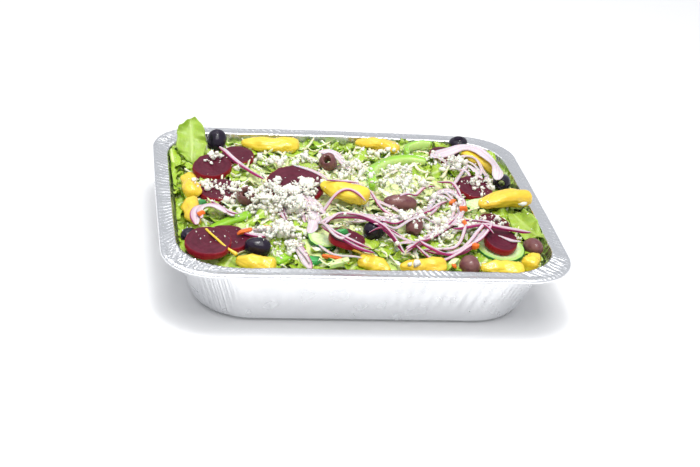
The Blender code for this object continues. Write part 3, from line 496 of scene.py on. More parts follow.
class Finish:
    """A material's node tree, with short calls for the nodes that it uses."""

    def __init__(self, name, roughness=0.4, patch=60.0, grain=600.0, contrast=0.5, **sockets):
        self.material = bpy.data.materials.new(name)
        self.material.use_nodes = True
        self.tree = self.material.node_tree
        self.shader = self.tree.nodes["Principled BSDF"]
        self.shader.inputs["Roughness"].default_value = roughness
        for key, value in sockets.items():
            self.shader.inputs[key.replace("_", " ")].default_value = value
        self.place = self.node("ShaderNodeTexCoord").outputs["Object"]
        marks = self.node("ShaderNodeAttribute")
        marks.attribute_name = "marks"
        split = self.node("ShaderNodeSeparateXYZ", Vector=marks.outputs["Vector"])
        self.along, self.across, self.tint = split.outputs
        surface = self.tree.nodes.new("ShaderNodeGroup")
        surface.node_tree = surface_group()
        self.fill(surface, {"Place": self.place, "Patch scale": patch, "Grain scale": grain,
                            "Contrast": contrast})
        self.patches, self.grain = surface.outputs

    def fill(self, node, values):
        """Set or link a node's inputs by name or number."""
        for key, value in values.items():
            if isinstance(value, bpy.types.NodeSocket):
                self.tree.links.new(value, node.inputs[key])
            elif isinstance(value, tuple) and len(value) == 3 and node.inputs[key].type == "RGBA":
                node.inputs[key].default_value = (*value, 1.0)
            else:
                node.inputs[key].default_value = value
        return node

    def node(self, kind, numbered=None, **named):
        """A new node with its inputs filled."""
        return self.fill(self.tree.nodes.new(kind), {**(numbered or {}), **named})

    def sum(self, operation, first, second=0.0, third=0.0):
        """One step of arithmetic."""
        node = self.node("ShaderNodeMath", {0: first, 1: second, 2: third})
        node.operation = operation
        return node.outputs[0]

    def step(self, value, low, high):
        """0 below the low value, 1 above the high one, smooth between."""
        node = self.node("ShaderNodeMapRange", {"Value": value, "From Min": low, "From Max": high})
        node.interpolation_type = "SMOOTHSTEP"
        return node.outputs["Result"]

    def blend(self, mask, first, second):
        """From the first colour where the mask is 0 to the second where it is 1."""
        node = self.tree.nodes.new("ShaderNodeMix")
        node.data_type = "RGBA"
        ends = (end if isinstance(end, bpy.types.NodeSocket) else tuple(end) for end in (first, second))
        self.fill(node, {0: mask, **dict(zip((6, 7), ends))})
        return node.outputs[2]

    def noise(self, stretch):
        """Noise over the piece's own marks, this dense along each of them."""
        marks = self.node("ShaderNodeCombineXYZ", {0: self.along, 1: self.across, 2: self.tint}).outputs[0]
        where = self.node("ShaderNodeMapping", Vector=marks, Scale=stretch).outputs[0]
        return self.node("ShaderNodeTexNoise", Vector=where, Scale=1.0, Detail=1.0).outputs["Fac"]

    def relief(self, height, distance, strength):
        """Bump of this depth."""
        bump = self.node("ShaderNodeBump", Height=height, Distance=distance, Strength=strength)
        self.tree.links.new(bump.outputs[0], self.shader.inputs["Normal"])

    def paint(self, colour, roughness=None):
        """Link the finished colour and, where it varies, the roughness."""
        self.tree.links.new(colour, self.shader.inputs["Base Color"])
        if roughness is not None:
            self.tree.links.new(roughness, self.shader.inputs["Roughness"])
        return self.material


def dimmed(colour, share):
    """A colour with every part multiplied by this share."""
    return tuple(value * share for value in colour)


def foil_finish():
    """Bright aluminium: fine dents on the flange, smooth walls, uneven gloss, and painted shade that makes the
    inside a little darker.
    """
    finish = Finish("bright foil", patch=45.0, grain=900.0, contrast=0.9, Metallic=1.0)
    dents = finish.node("ShaderNodeTexVoronoi", Vector=finish.place, Scale=240.0)
    height = finish.sum("MULTIPLY_ADD", dents.outputs["Distance"], 1.0, finish.grain)
    strength = finish.sum("MULTIPLY_ADD", finish.tint, 0.9, 0.1)
    finish.relief(finish.sum("MULTIPLY", height, strength), 0.00034, 0.55)
    shade = finish.blend(finish.patches, colours().foil, dimmed(colours().foil, 0.92))
    # Painted shade: the inside rows are darkened to 0.88 of the foil colour, a dim reflection painted into the
    # colour
    shade = finish.blend(finish.across, shade, dimmed(colours().foil, 0.88))
    return finish.paint(shade, finish.sum("MULTIPLY_ADD", finish.patches, 0.14, 0.18))


def leaf_finish(name, base, dark, pale, darkness, ribbing=0.8):
    """Lettuce: a pale rib and veins, darker patches, and a soft wet shine."""
    finish = Finish(name, patch=90.0, grain=500.0, contrast=0.9, Subsurface_Weight=0.25,
                    Subsurface_Scale=0.002, Subsurface_Radius=(0.6, 1.0, 0.25), Specular_IOR_Level=0.5)
    rib = finish.step(finish.sum("ABSOLUTE", finish.across), 0.22, 0.02)
    veins = finish.step(finish.noise((7.0, 16.0, 9.0)), 0.60, 0.68)
    ribs = finish.sum("MAXIMUM", finish.sum("MULTIPLY", rib, ribbing),
                      finish.sum("MULTIPLY", veins, 0.6 * ribbing))
    pale_mask = finish.sum("MAXIMUM", ribs, finish.step(finish.tint, 0.62, 0.95))
    shade = finish.blend(finish.sum("MULTIPLY", finish.patches, darkness), base, dark)
    shade = finish.blend(finish.step(finish.tint, 0.30, 0.0), shade, dark)
    finish.relief(finish.sum("MULTIPLY_ADD", veins, 0.8, finish.grain), 0.0004, 0.6)
    return finish.paint(finish.blend(pale_mask, shade, pale),
                        finish.sum("MULTIPLY_ADD", finish.patches, 0.2, 0.28))


def plain_food(name, base, other, **settings):
    """A food with slow patches of a second colour and a fine grain."""
    depth = settings.pop("depth", 0.0003)
    finish = Finish(name, **settings)
    finish.relief(finish.grain, depth, 0.6)
    return finish.paint(finish.blend(finish.patches, base, other))


def beet_finish():
    """Cooked beet: a matt cut face with faint rings, and a wet, redder side."""
    finish = Finish("cooked beet", patch=110.0, grain=700.0, contrast=0.8, Coat_Weight=0.05,
                    Coat_Roughness=0.05, Specular_IOR_Level=0.18)
    rings = finish.sum("SINE", finish.sum("MULTIPLY", finish.along, 26.0))
    rings = finish.sum("MULTIPLY_ADD", rings, 0.5, 0.5)
    face = finish.blend(finish.sum("MULTIPLY", rings, 0.35), colours().beet, dimmed(colours().beet, 1.7))
    face = finish.blend(finish.sum("MULTIPLY", finish.patches, 0.5), face, dimmed(colours().beet, 0.55))
    shade = finish.blend(finish.across, face, colours().beet_side)
    finish.relief(finish.grain, 0.0003, 0.5)
    return finish.paint(shade, finish.sum("MULTIPLY_ADD", finish.patches, 0.2, 0.30))


def pepper_finish():
    """Pickled pepper: waxy yellow to orange skin, with slow darker patches."""
    finish = Finish("pickled pepper", roughness=0.26, patch=140.0, grain=420.0, contrast=0.9, Coat_Weight=0.4,
                    Coat_Roughness=0.08, Subsurface_Weight=0.2, Subsurface_Scale=0.003,
                    Subsurface_Radius=(1.0, 0.9, 0.3))
    ripe = finish.blend(finish.tint, colours().pepper, colours().pepper_ripe)
    deep = finish.blend(finish.sum("MULTIPLY", finish.patches, 0.40), ripe,
                        tuple(value * scale for value, scale in zip(colours().pepper, (0.80, 0.62, 0.4))))
    finish.relief(finish.grain, 0.0006, 0.5)
    return finish.paint(deep)


def olive_finish(name, colour, bright):
    """Olive skin: dark and glossy, with slow cloudy patches and a dull hole."""
    finish = Finish(name, patch=160.0, grain=700.0, contrast=0.8, Specular_IOR_Level=0.30)
    shade = finish.blend(finish.patches, colour, bright)
    shade = finish.blend(finish.across, shade, dimmed(bright, 1.5))
    finish.relief(finish.grain, 0.00025, 0.5)
    return finish.paint(shade, finish.sum("MULTIPLY_ADD", finish.across, 0.4, 0.11))


def green_pepper_finish():
    """Green pepper: glossy skin outside and a paler wall inside."""
    finish = Finish("green pepper", roughness=0.22, patch=80.0, grain=500.0, contrast=0.8, Coat_Weight=0.4,
                    Coat_Roughness=0.08, Subsurface_Weight=0.15, Subsurface_Scale=0.002)
    skin = finish.blend(finish.patches, colours().green, dimmed(colours().green, 0.8))
    finish.relief(finish.grain, 0.0003, 0.4)
    return finish.paint(finish.blend(finish.step(finish.across, 0.1, 0.9), skin, colours().green_pale))


def cucumber_finish():
    """Cucumber: dark skin, a green edge, pale flesh and a ring of wet seeds."""
    finish = Finish("cucumber", roughness=0.22, patch=120.0, grain=500.0, contrast=0.8, Coat_Weight=0.3,
                    Coat_Roughness=0.1, Subsurface_Weight=0.2, Subsurface_Scale=0.003)
    rim = finish.blend(finish.step(finish.along, 0.70, 0.93), colours().flesh,
                       tuple(a * 0.35 + b * 0.65 for a, b in zip(colours().flesh, colours().green)))
    seeds = finish.step(finish.noise((6.0, 4.0, 1.0)), 0.50, 0.60)
    seeds = finish.sum("MULTIPLY", seeds, finish.step(finish.along, 0.62, 0.50))
    core = finish.blend(finish.sum("MULTIPLY", seeds, 0.6), rim, dimmed(colours().flesh, 0.72))
    finish.relief(finish.grain, 0.0003, 0.5)
    return finish.paint(finish.blend(finish.step(finish.along, 0.955, 0.985), core, colours().skin))


def onion_finish():
    """Red onion: pale, glassy flesh with fine lines along it, and a dark edge."""
    finish = Finish("red onion", roughness=0.25, patch=70.0, grain=500.0, contrast=0.7,
                    Specular_IOR_Level=0.35, Subsurface_Weight=0.2, Subsurface_Scale=0.002)
    lines = finish.step(finish.noise((0.4, 0.0, 5.5)), 0.46, 0.60)
    mid = tuple(a * 0.55 + b * 0.45 for a, b in zip(colours().onion, colours().onion_skin))
    flesh = finish.blend(finish.step(finish.across, -0.5, 0.75), colours().onion, mid)
    flesh = finish.blend(finish.sum("MULTIPLY", lines, 0.48), flesh, mid)
    finish.relief(lines, 0.0002, 0.6)
    return finish.paint(finish.blend(finish.step(finish.across, 0.50, 0.85), flesh, colours().onion_skin))


# Forms

def pan_stations():
    """Round the pan: outward normal, corner's signs, share of a side, share of a corner, and on a short side."""
    corner_steps, long_steps, short_steps = 160, 280, 200
    angles, signs, shares, bends, upright = [], [], [], [], []
    sides = (((1, -1), -pi / 2, short_steps, True), ((1, 1), 0.0, long_steps, False),
             ((-1, 1), pi / 2, short_steps, True), ((-1, -1), pi, long_steps, False))
    for sign, start, count, steep in sides:
        step = np.arange(corner_steps) / corner_steps
        angles += [start + pi / 2 * step, np.full(count, start + pi / 2)]
        signs += [np.tile(sign, (corner_steps + count, 1))]
        shares += [np.zeros(corner_steps), np.arange(count) / count]
        bends += [step, np.zeros(count)]
        upright += [np.full(corner_steps + count, steep)]
    angle = np.concatenate(angles)
    normal = np.stack((np.cos(angle), np.sin(angle)), -1)
    return normal, np.vstack(signs), np.concatenate(shares), np.concatenate(bends), np.concatenate(upright)


def pan_grid(inset, stations):
    """The rounded, slightly bowed rectangle at each inset: corner centre + normal x radius + the side."""
    normal, sign, share, bend, upright = stations
    inset = inset[:, None]
    outer = RIM_CORNER + (OPENING_CORNER - RIM_CORNER) * inset / OPENING_INSET
    slope = (inset - OPENING_INSET) / (BASE_INSET - OPENING_INSET)
    inner = np.maximum(OPENING_CORNER + (BASE_CORNER - OPENING_CORNER) * slope, 0.0)
    half_x = np.maximum(RIM_LENGTH / 2 - inset, 0.0)
    half_y = np.maximum(RIM_WIDTH / 2 - inset, 0.0)
    radius = np.minimum(np.where(inset <= OPENING_INSET, outer, inner), np.minimum(half_x, half_y))
    length = 2 * (np.where(upright, half_y, half_x) - radius)
    along = np.stack((-normal[:, 1], normal[:, 0]), -1)
    on_side = (share > 0)[None]
    x = sign[:, 0] * (half_x - radius) + normal[:, 0] * radius + along[:, 0] * length * share * on_side
    y = sign[:, 1] * (half_y - radius) + normal[:, 1] * radius + along[:, 1] * length * share * on_side
    across = x / np.maximum(half_x, 1e-6)
    deep = y / np.maximum(half_y, 1e-6)
    bowed_x = x + BOW_SIDE * across * np.maximum(0.0, 1 - deep ** 2)
    bowed_y = y + BOW_BACK * np.maximum(0.0, deep) * np.maximum(0.0, 1 - across ** 2) + MIDDLE_Y
    return bowed_x, bowed_y


def profile_through(keys, counts):
    """Rows of numbers along straight stretches between keys, each cut into its count of steps."""
    rows = [np.linspace(first, last, count, endpoint=False)
            for first, last, count in zip(keys[:-1], keys[1:], counts)]
    return np.vstack(rows + [np.array(keys[-1:])])


def pan_profile():
    """The pan's profile from the inner floor over the flange and rolled rim to the outer floor.

    Each row: inset from the rim, height, share of the flutes' depth, share of the pleats' depth.
    """
    foil = sizes().foil
    top = RIM_HEIGHT
    keys = [(RIM_WIDTH / 2, foil, 0.0, 0.0), (BASE_INSET + 0.004, foil, 0.0, 0.0),
            (BASE_INSET + foil, foil, 0.0, 0.0), (FOOT_INSET + foil, FOOT_HEIGHT + foil, 0.4, 0.4),
            (HEEL_INSET + foil, HEEL_HEIGHT, 1.0, 1.0),
            (OPENING_INSET + foil + 0.00025, top - 0.0009, 0.8, 1.0), (OPENING_INSET + foil, top, 0.8, 1.0),
            (OPENING_INSET * 0.85, top - 0.0001, 0.1, 0.9), (OPENING_INSET * 0.5, top - 0.0004, 0.0, 0.9),
            (CURL, top, 0.0, 0.5)]
    keys += [(CURL * (1 - sin(a)), top - CURL + CURL * cos(a), 0.0, 0.5) for a in np.linspace(0.35, 3.4, 10)]
    keys += [(CURL * 1.7, top - 2 * CURL + 0.0010, 0.0, 0.5), (CURL * 2.1, top - foil, 0.0, 0.6),
             (OPENING_INSET, top - foil - 0.0003, 1.0, 1.0), (HEEL_INSET, HEEL_HEIGHT, 1.0, 1.0),
             (FOOT_INSET, FOOT_HEIGHT, 0.4, 0.4), (BASE_INSET, 0.0, 0.0, 0.0),
             (BASE_INSET + 0.004, 0.0, 0.0, 0.0), (RIM_WIDTH / 2, 0.0, 0.0, 0.0)]
    return profile_through(keys, [2, 1, 1, 2, 6, 1, 3, 4, 4] + [1] * 10 + [1, 2, 4, 8, 3, 2, 1, 1])


def foil_pan():
    """The pan: its profile carried round the rounded rectangle.

    Flutes push the walls in and out by a rounded zigzag along the sides. The corners take two sets of radial
    pleats that drift, and the flange takes fine ripples across it. Slow dents lie over everything.
    """
    inset, height, flute, pleat = pan_profile().T
    stations = pan_stations()
    normal, sign, share, bend, upright = stations
    x, y = pan_grid(inset, stations)
    length = np.where(upright, RIM_WIDTH, RIM_LENGTH) - 2 * OPENING_CORNER - 2 * OPENING_INSET
    count = np.round(length / sizes().pitch)
    wave = np.arcsin(0.80 * np.sin(2 * pi * share * count)) / (pi / 2)
    around = np.stack((x[0], y[0], 0 * x[0]), -1)
    rim = np.clip((height[:, None] - 0.050) / 0.006, 0, 1)
    drift = 0.8 * field(around, 0.011, 15) + 0.3 * rim * field(np.stack((x, y, 0 * x), -1), 0.008, 17)
    fold = np.arcsin(0.97 * np.sin(2 * pi * (bend * CORNER_PLEATS + drift))) / (pi / 2)
    fine = np.sin(2 * pi * (bend * FINE_PLEATS - 1.5 * drift)) * field(around, 0.007, 16)
    fold = (fold + 0.7 * fine) * np.clip(bend * 4, 0, 1) * np.clip((1 - bend) * 4, 0, 1)
    uneven = 1 + 0.8 * field(around, 0.012, 5)
    push = sizes().flute * flute[:, None] * (wave + 0.8 * fold * uneven)
    sharp = np.where(sign[:, 1] > 0, 0.6, np.where(sign[:, 0] > 0, 1.3, 1.2))
    crease = PLEAT_DEPTH * pleat[:, None] * fold * uneven * sharp
    rim_wave = np.where(share > 0, np.sin(2 * pi * share * count * 2 + 1.0 + 2 * drift), 0.0) * uneven
    points = np.stack((x + normal[:, 0] * push, y + normal[:, 1] * push, height[:, None] + 0 * x), -1)
    points[..., 2] += rim * (crease + RIPPLE_DEPTH * pleat[:, None] * rim_wave)
    dent = 0.00012 * field(points, 0.040, 3) + rim * 0.00008 * field(points, 0.009, 4)
    points[..., :2] += normal * (dent * np.clip(flute + 0.3 * pleat, 0, 1)[:, None])[..., None]
    points[..., 2] += rim * 0.0003 * field(points, 0.040, 6) * pleat[:, None]
    points[0] = points[0].mean(0)
    points[-1] = points[-1].mean(0)
    points[..., 2] = np.maximum(points[..., 2], 0.0)
    # Rows inside the pan: the foil's finish paints shade on them, so they are darker than the outside
    inside = np.arange(len(inset))[:, None] <= np.argmax(height > RIM_HEIGHT - 0.001)
    flange = (inset < OPENING_INSET)[:, None] & (height > 0.050)[:, None]
    marks = marks_for(points, 0.5, 1.0 * inside, 1.0 * flange)
    add_piece("Foil_pan", [(points, quads(*points.shape[:2]), marks)], foil_finish(), "foil_pan")


def salad_bed():
    """The heap under the leaves: the pan's outline at the wall, up to a domed, lumpy surface."""
    wall = 0.0015
    stations = pan_stations()
    slope = (HEEL_INSET - OPENING_INSET) / (RIM_HEIGHT - HEEL_HEIGHT)
    edge_height = BED_EDGE - BED_TILT * BED_HALF_Y
    edge = OPENING_INSET + slope * (RIM_HEIGHT - edge_height) + wall
    rings = 46
    low = [(BASE_INSET + wall + 0.08, 0.0020), (BASE_INSET + wall, 0.0020),
           (HEEL_INSET + wall, HEEL_HEIGHT + 0.001)]
    inset = np.array([row[0] for row in low] + [edge])
    x, y = pan_grid(inset, stations)
    step = 4
    x, y = x[:, ::step], y[:, ::step]
    shrink = (1 - (np.arange(1, rings + 1) / rings) ** 1.1)[:, None]
    x = np.vstack((x, x[-1] * shrink))
    y = np.vstack((y, y[-1] * shrink))
    height = bed_height(x, y)
    for row, (_, level) in enumerate(low):
        height[row] = level
    points = np.stack((x, y, height), -1)
    points[3:, :, 2] += 0.0013 * field(points[3:], 0.016, 8) + 0.0006 * field(points[3:], 0.006, 9)
    points[0] = points[0].mean(0)
    points[-1] = points[-1].mean(0)
    marks = marks_for(points, 0.5, 0.5, 0.5)
    material = leaf_finish("salad bed", colours().leaf_pale, colours().leaf, colours().shred, 0.35)
    add_piece("Salad_bed", [(points, quads(*points.shape[:2]), marks)], material, "salad")


def leaf_points(length, width, ruffle, cup, phase, columns, rows, thickness, frill=1.0):
    """Leaves along X as closed lofts: both faces of a ruffled, cupped blade, round from edge to edge.

    Half-width = width/2 x a rounded outline; height = cupping x across squared + a ruffle that grows to the
    edges. Every argument may be a column of values, one for each leaf.
    """
    values = length, width, ruffle, cup, phase
    length, width, ruffle, cup, phase = (np.reshape(value, (-1, 1, 1)) for value in values)
    s = np.linspace(0, 1, columns)[None, :, None]
    t = np.concatenate((np.linspace(-1, 1, rows), np.linspace(1, -1, rows)[1:-1]))[None, None, :]
    face = np.concatenate((np.ones(rows), -np.ones(rows - 2)))
    face[0] = face[rows - 1] = 0.0
    outline = np.sin(pi * np.clip(0.04 + 0.94 * s, 0, 1)) ** 0.55
    edge = 1 + frill * np.abs(t) * (0.14 * np.sin(17 * s + phase * 3) + 0.08 * np.sin(37 * s + phase * 5 + t))
    x = (s - 0.5) * length + 0.10 * width * np.sin(11 * s + phase) * t
    y = t * width / 2 * outline * edge
    wave = np.sin(13 * s + 2.1 * t + phase) + 0.5 * np.sin(29 * s - 3.0 * t + 2 * phase)
    z = cup * t ** 2 + ruffle * np.abs(t) ** 1.3 * wave + 0.5 * ruffle * np.sin(5 * s + 3 * t + phase)
    rib = 0.0005 * np.exp(-(t / 0.10) ** 2)
    z += face * (thickness / 2 + rib)
    points = np.stack(np.broadcast_arrays(x, y, z), -1)
    points[:, 0] = points[:, 0].mean(1, keepdims=True)
    points[:, -1] = points[:, -1].mean(1, keepdims=True)
    marks = np.stack(np.broadcast_arrays(s, t, 0 * points[..., 0]), -1).copy()
    return points, marks


def turned(points, angles, places):
    """Many pieces, each turned by its own roll, pitch and turn in radians and moved to its place."""
    roll, pitch, turn = angles.T
    zero, one = np.zeros_like(roll), np.ones_like(roll)
    about_x = (one, zero, zero, zero, np.cos(roll), -np.sin(roll), zero, np.sin(roll), np.cos(roll))
    about_y = (np.cos(pitch), zero, np.sin(pitch), zero, one, zero, -np.sin(pitch), zero, np.cos(pitch))
    about_z = (np.cos(turn), -np.sin(turn), zero, np.sin(turn), np.cos(turn), zero, zero, zero, one)
    about_x, about_y, about_z = (np.stack(row, -1).reshape(-1, 3, 3) for row in (about_x, about_y, about_z))
    matrix = about_z @ about_y @ about_x
    flat = points.reshape(len(points), -1, 3)
    return (np.einsum("nij,npj->npi", matrix, flat) + places[:, None]).reshape(points.shape)


def rim_leaves():
    """The two large leaves that stand above the rim."""
    material = leaf_finish("rim lettuce", (0.32, 0.46, 0.065), colours().leaf, colours().leaf_pale, 0.4, 0.25)
    for index, (name, x, y, turn, pitch, roll, length, width, ruffle, cup) in enumerate(RIM_LEAVES):
        points, marks = leaf_points(length * MM, width * MM, ruffle * MM, cup * MM, index * 2.0 + 0.4, 60, 25,
                                    0.0007, 0.25)
        node = "lettuce_" + name
        points = laid(points, node, x, y, turn, pitch, roll)
        marks[..., 2] = 0.45
        add_piece(node.capitalize(), [(points, quads(*points.shape[1:3]), marks)], material, node)


def beet_slices():
    """Beet slices: discs with a rounded edge, a radius uneven with the angle and slightly hollow faces."""
    material = beet_finish()
    profile = profile_through([(0.0, 0.46, 0.0), (0.90, 0.50, 0.0), (0.965, 0.47, 0.3), (0.99, 0.36, 0.9),
                               (1.0, 0.0, 1.0), (0.98, -0.38, 1.0), (0.94, -0.49, 0.8), (0.0, -0.47, 0.0)],
                              [12, 3, 2, 3, 3, 2, 5])
    reach, level, side = profile.T
    angle = np.arange(110) / 110 * 2 * pi
    ring = np.stack((np.cos(angle), np.sin(angle)), -1)
    for index, (name, x, y, radius, thickness, heading, tip) in enumerate(BEETS):
        spot = np.stack((ring[:, 0] * 0.8 + index, ring[:, 1] * 0.8, 0 * angle), -1)
        uneven = 1 + 0.045 * field(spot, 2.2, 20 + index) + 0.008 * field(spot, 0.3, 40 + index)
        points = np.empty((len(reach), len(angle), 3))
        points[..., :2] = reach[:, None, None] * (ring * uneven[:, None]) * radius * MM
        points[..., 2] = level[:, None] * thickness * MM
        points[..., 2] += 0.0004 * field(points, 0.012, 60 + index) * (reach[:, None] < 0.98)
        marks = marks_for(points, reach[:, None], side[:, None], 0.1 * index)
        node = "beet_" + name
        points = laid(points, node, x, y, heading, tip)
        add_piece(node.capitalize(), [(points, quads(*points.shape[:2]), marks)], material, node)


def bed_slope(x, y, turn):
    """Pitch in degrees that lays a long piece along the bed."""
    reach = 16.0 * MM
    spread = np.array((1, -1)) * reach
    ahead, behind = bed_height(x * MM + spread * cos(radians(turn)), y * MM + spread * sin(radians(turn)))
    return (behind - ahead) / (2 * reach) * 180 / pi


def tube(path, reach, sides=14):
    """A closed round tube along a path, its radius given at each point."""
    along = np.gradient(path, axis=0)
    along /= np.linalg.norm(along, axis=1, keepdims=True)
    side = np.cross(along, np.array((0.0, 0.0, 1.0)))
    side /= np.linalg.norm(side, axis=1, keepdims=True)
    over = np.cross(side, along)
    angle = np.arange(sides) / sides * 2 * pi
    ring = side[:, None] * np.cos(angle)[None, :, None] + over[:, None] * np.sin(angle)[None, :, None]
    return path[:, None] + ring * reach[:, None, None]


def pepperoncini():
    """Pickled peppers: a tapered body bent sideways, with lengthwise folds and dents, and some stems."""
    material = pepper_finish()
    share = np.concatenate((np.linspace(-0.5, -0.44, 9, endpoint=False),
                            np.linspace(-0.44, 0.46, 60, endpoint=False), np.linspace(0.46, 0.5, 7)))
    width = smoothed(np.interp(share, *zip(*PEPPER_SHAPE)), 3)
    width[0] = width[-1] = 0.0
    angle = np.arange(56) / 56 * 2 * pi
    for index, (name, x, y, turn, pitch, length, radius, bend, ripe) in enumerate(PEPPERS):
        phase = index * 1.7
        twist = angle[None] + 0.9 * share[:, None] + phase
        folds = 0.055 * np.cos(3 * twist) + 0.035 * np.cos(5 * twist + 7 * share[:, None] + phase)
        ring = np.stack(np.broadcast_arrays(share[:, None] * 4.5, np.cos(angle)[None],
                                            np.sin(angle)[None]), -1)
        dents = 0.085 * field(ring, 2.3, 80 + index) + 0.030 * field(ring * (1, 2.2, 2.2), 0.9, 100 + index)
        reach = radius * MM * width[:, None] * (1.0 + folds + dents)
        centre = (bend * (0.25 - share ** 2) * 4 - bend) * MM
        points = np.stack((np.broadcast_to(share[:, None] * length * MM, reach.shape),
                           centre[:, None] + np.cos(angle) * reach, np.sin(angle) * reach * 0.86), -1)
        node = "pepperoncini_" + name
        points = laid(points, node, x, y, turn, pitch + bed_slope(x, y, turn))
        parts = [(points, quads(*points.shape[:2]), marks_for(points, share[:, None], 0.5, ripe))]
        for owner, route in STEMS:
            if owner == name:
                path = smooth_path(route, 0.0012)
                thick = np.interp(np.linspace(0, 1, len(path)), (0, 0.02, 0.1, 0.8, 1),
                                  (0, 1.0, 0.8, 0.8, 1.7)) * MM
                thick[-1] = 0.0
                stem = tube(path, thick * 1.15)
                parts.append((stem, quads(*stem.shape[:2]), marks_for(stem, 0.5, 0.5, 0.3)))
        add_piece(node.capitalize(), parts, material, node)


def olives():
    """Olives: a turned profile, whole or pitted from end to end, with faint dents."""
    black = olive_finish("black olive", colours().olive, (0.018, 0.011, 0.027))
    brown = olive_finish("brown olive", colours().olive_brown, (0.22, 0.10, 0.085))
    angle = np.arange(44) / 44 * 2 * pi
    for index, (name, x, y, turn, pitch, length, radius, hole) in enumerate(OLIVES):
        half = length * MM / 2
        hollow = hole / radius
        lean = np.linspace(-pi / 2, pi / 2, 26)
        if hole:
            lean = np.linspace(-1.22, 1.22, 22)
            along = np.concatenate((np.sin(lean) / sin(1.22), (0.93, 0.80, 0.0, -0.80, -0.93)))
            reach = np.concatenate((np.cos(lean) ** 0.8,
                                    (hollow * 1.35, hollow, hollow * 0.9, hollow, hollow * 1.35)))
            inner = np.concatenate((np.zeros(22), (0.6, 1, 1, 1, 0.6)))
        else:
            along = np.sin(lean)
            reach = np.maximum(np.cos(lean), 0.0) ** 0.85
            inner = np.zeros(26)
        reach = reach[:, None] * radius * MM
        points = np.stack((np.broadcast_to(along[:, None] * half, (len(along), 44)), reach * np.cos(angle),
                           reach * np.sin(angle)), -1)
        points[..., 1:] *= (1 + 0.030 * field(points, 0.011, 120 + index))[..., None]
        marks = marks_for(points, along[:, None], inner[:, None], 0.1)
        node = "olive_" + name
        points = laid(points, node, x, y, turn, pitch)
        faces = quads(*points.shape[:2], round_rows=bool(hole))
        add_piece(node.capitalize(), [(points, faces, marks)], brown if "brown" in name else black,
                  node)


def cucumber_slices():
    """Cucumber slices and parts of them: a flat profile with a rounded edge, swept about the middle."""
    material = cucumber_finish()
    profile = profile_through([(0.0, 0.46), (0.6, 0.44), (0.955, 0.50), (0.99, 0.44), (1.0, 0.30),
                               (1.0, -0.34), (0.97, -0.50), (0.0, -0.46)], [6, 8, 4, 3, 5, 3, 6])
    reach, level = profile.T
    for index, (name, x, y, radius, thickness, start, sweep, heading, tip) in enumerate(CUCUMBERS):
        whole = sweep == 360
        count = 110 if whole else 70
        angle = radians(start - heading) + radians(sweep) * np.arange(count) / (count if whole else count - 1)
        ring = np.stack((np.cos(angle), np.sin(angle)), -1)
        points = np.empty((len(reach), count, 3))
        points[..., :2] = reach[:, None, None] * ring * radius * MM
        points[..., 2] = level[:, None] * thickness * MM
        marks = marks_for(points, reach[:, None], angle[None], 0.2 * index)
        if not whole:
            middle = points[:, (0, -1)].mean(1, keepdims=True)
            points = np.concatenate((middle, points, middle), 1)
            marks = np.concatenate((marks[:, :1], marks, marks[:, -1:]), 1)
        points[..., 2] += 0.0003 * field(points, 0.010, 140 + index)
        node = "cucumber_" + name
        points = laid(points, node, x, y, heading, tip)
        faces = quads(*points.shape[:2], round_columns=whole)
        add_piece(node.capitalize(), [(points, faces, marks)], material, node)


def node_tree_of(node):
    """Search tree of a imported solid."""
    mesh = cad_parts[node].data
    return BVHTree.FromPolygons([vertex.co.copy() for vertex in mesh.vertices],
                                [tuple(face.vertices) for face in mesh.polygons])


def solid_tops(node, path):
    """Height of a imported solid's upper side along a path, smoothed."""
    tree = node_tree_of(node)
    hits = [tree.ray_cast(Vector((x, y, 0.2)), Vector((0, 0, -1)))[0] for x, y, _ in path]
    tops = np.array([hit.z if hit else np.nan for hit in hits])
    known = ~np.isnan(tops)
    order = np.arange(len(path))
    return smoothed(np.interp(order, order[known], tops[known])[:, None], 10)[:, 0]


def laid_tops(relief, path, height, reach=7):
    """Height of the upper side of a strand that bridges the highest spots of what is laid under its path."""
    level = np.pad(relief.top[relief.cells(path)], reach, mode="edge")
    high = np.lib.stride_tricks.sliding_window_view(level, 2 * reach + 1).max(-1)
    return smoothed(high[:, None], 60)[:, 0] + 0.5 * height * MM


def band(path, tops, width, height, step, sway, taper, seed):
    """A strip along a path below its tops: a rounded section that narrows at its ends and sways a little."""
    along = np.gradient(path, axis=0)
    along /= np.linalg.norm(along, axis=1, keepdims=True)
    side = np.stack((-along[:, 1], along[:, 0], 0 * along[:, 0]), -1)
    lift = np.array((0.0, 0.0, 1.0))
    length = np.arange(len(path)) * step
    lean = sway * np.sin(length / 0.019 + seed) + 0.5 * sway * np.sin(length / 0.0083 + 2 * seed)
    ends = np.minimum(length, length[-1] - length)
    narrow = 1 - (1 - taper) * np.clip(1 - ends / 0.010, 0, 1) ** 1.5
    narrow[0] = narrow[-1] = 0.0
    angle = np.arange(18) / 18 * 2 * pi
    shape_x = np.sign(np.cos(angle)) * np.abs(np.cos(angle)) ** 0.55
    shape_z = np.sign(np.sin(angle)) * np.abs(np.sin(angle)) ** 0.75
    wide = side[:, None] * np.cos(lean)[:, None, None] + lift * np.sin(lean)[:, None, None]
    high = lift * np.cos(lean)[:, None, None] - side[:, None] * np.sin(lean)[:, None, None]
    centre = path.copy()
    centre[:, 2] = tops - height * MM / 2
    centre += side * (0.0005 * np.sin(length / 0.006 + seed))[:, None]
    points = (centre[:, None] + wide * (shape_x * width * MM / 2)[None, :, None] * narrow[:, None, None]
              + high * (shape_z * height * MM / 2)[None, :, None] * narrow[:, None, None])
    return points, length, np.cos(angle)


def onion_strands():
    """Slices of red onion: thin bands, pale with one dark edge."""
    material = onion_finish()
    for index, (name, route, width, height, skin) in enumerate(ONIONS):
        node = "onion_" + name
        path = smooth_path([(x, y, 0.0) for x, y in route], ONION_STEP)
        part = onion_part(path, solid_tops(node, path), width, height, skin, index)
        add_piece(node.capitalize(), [part], material, node)


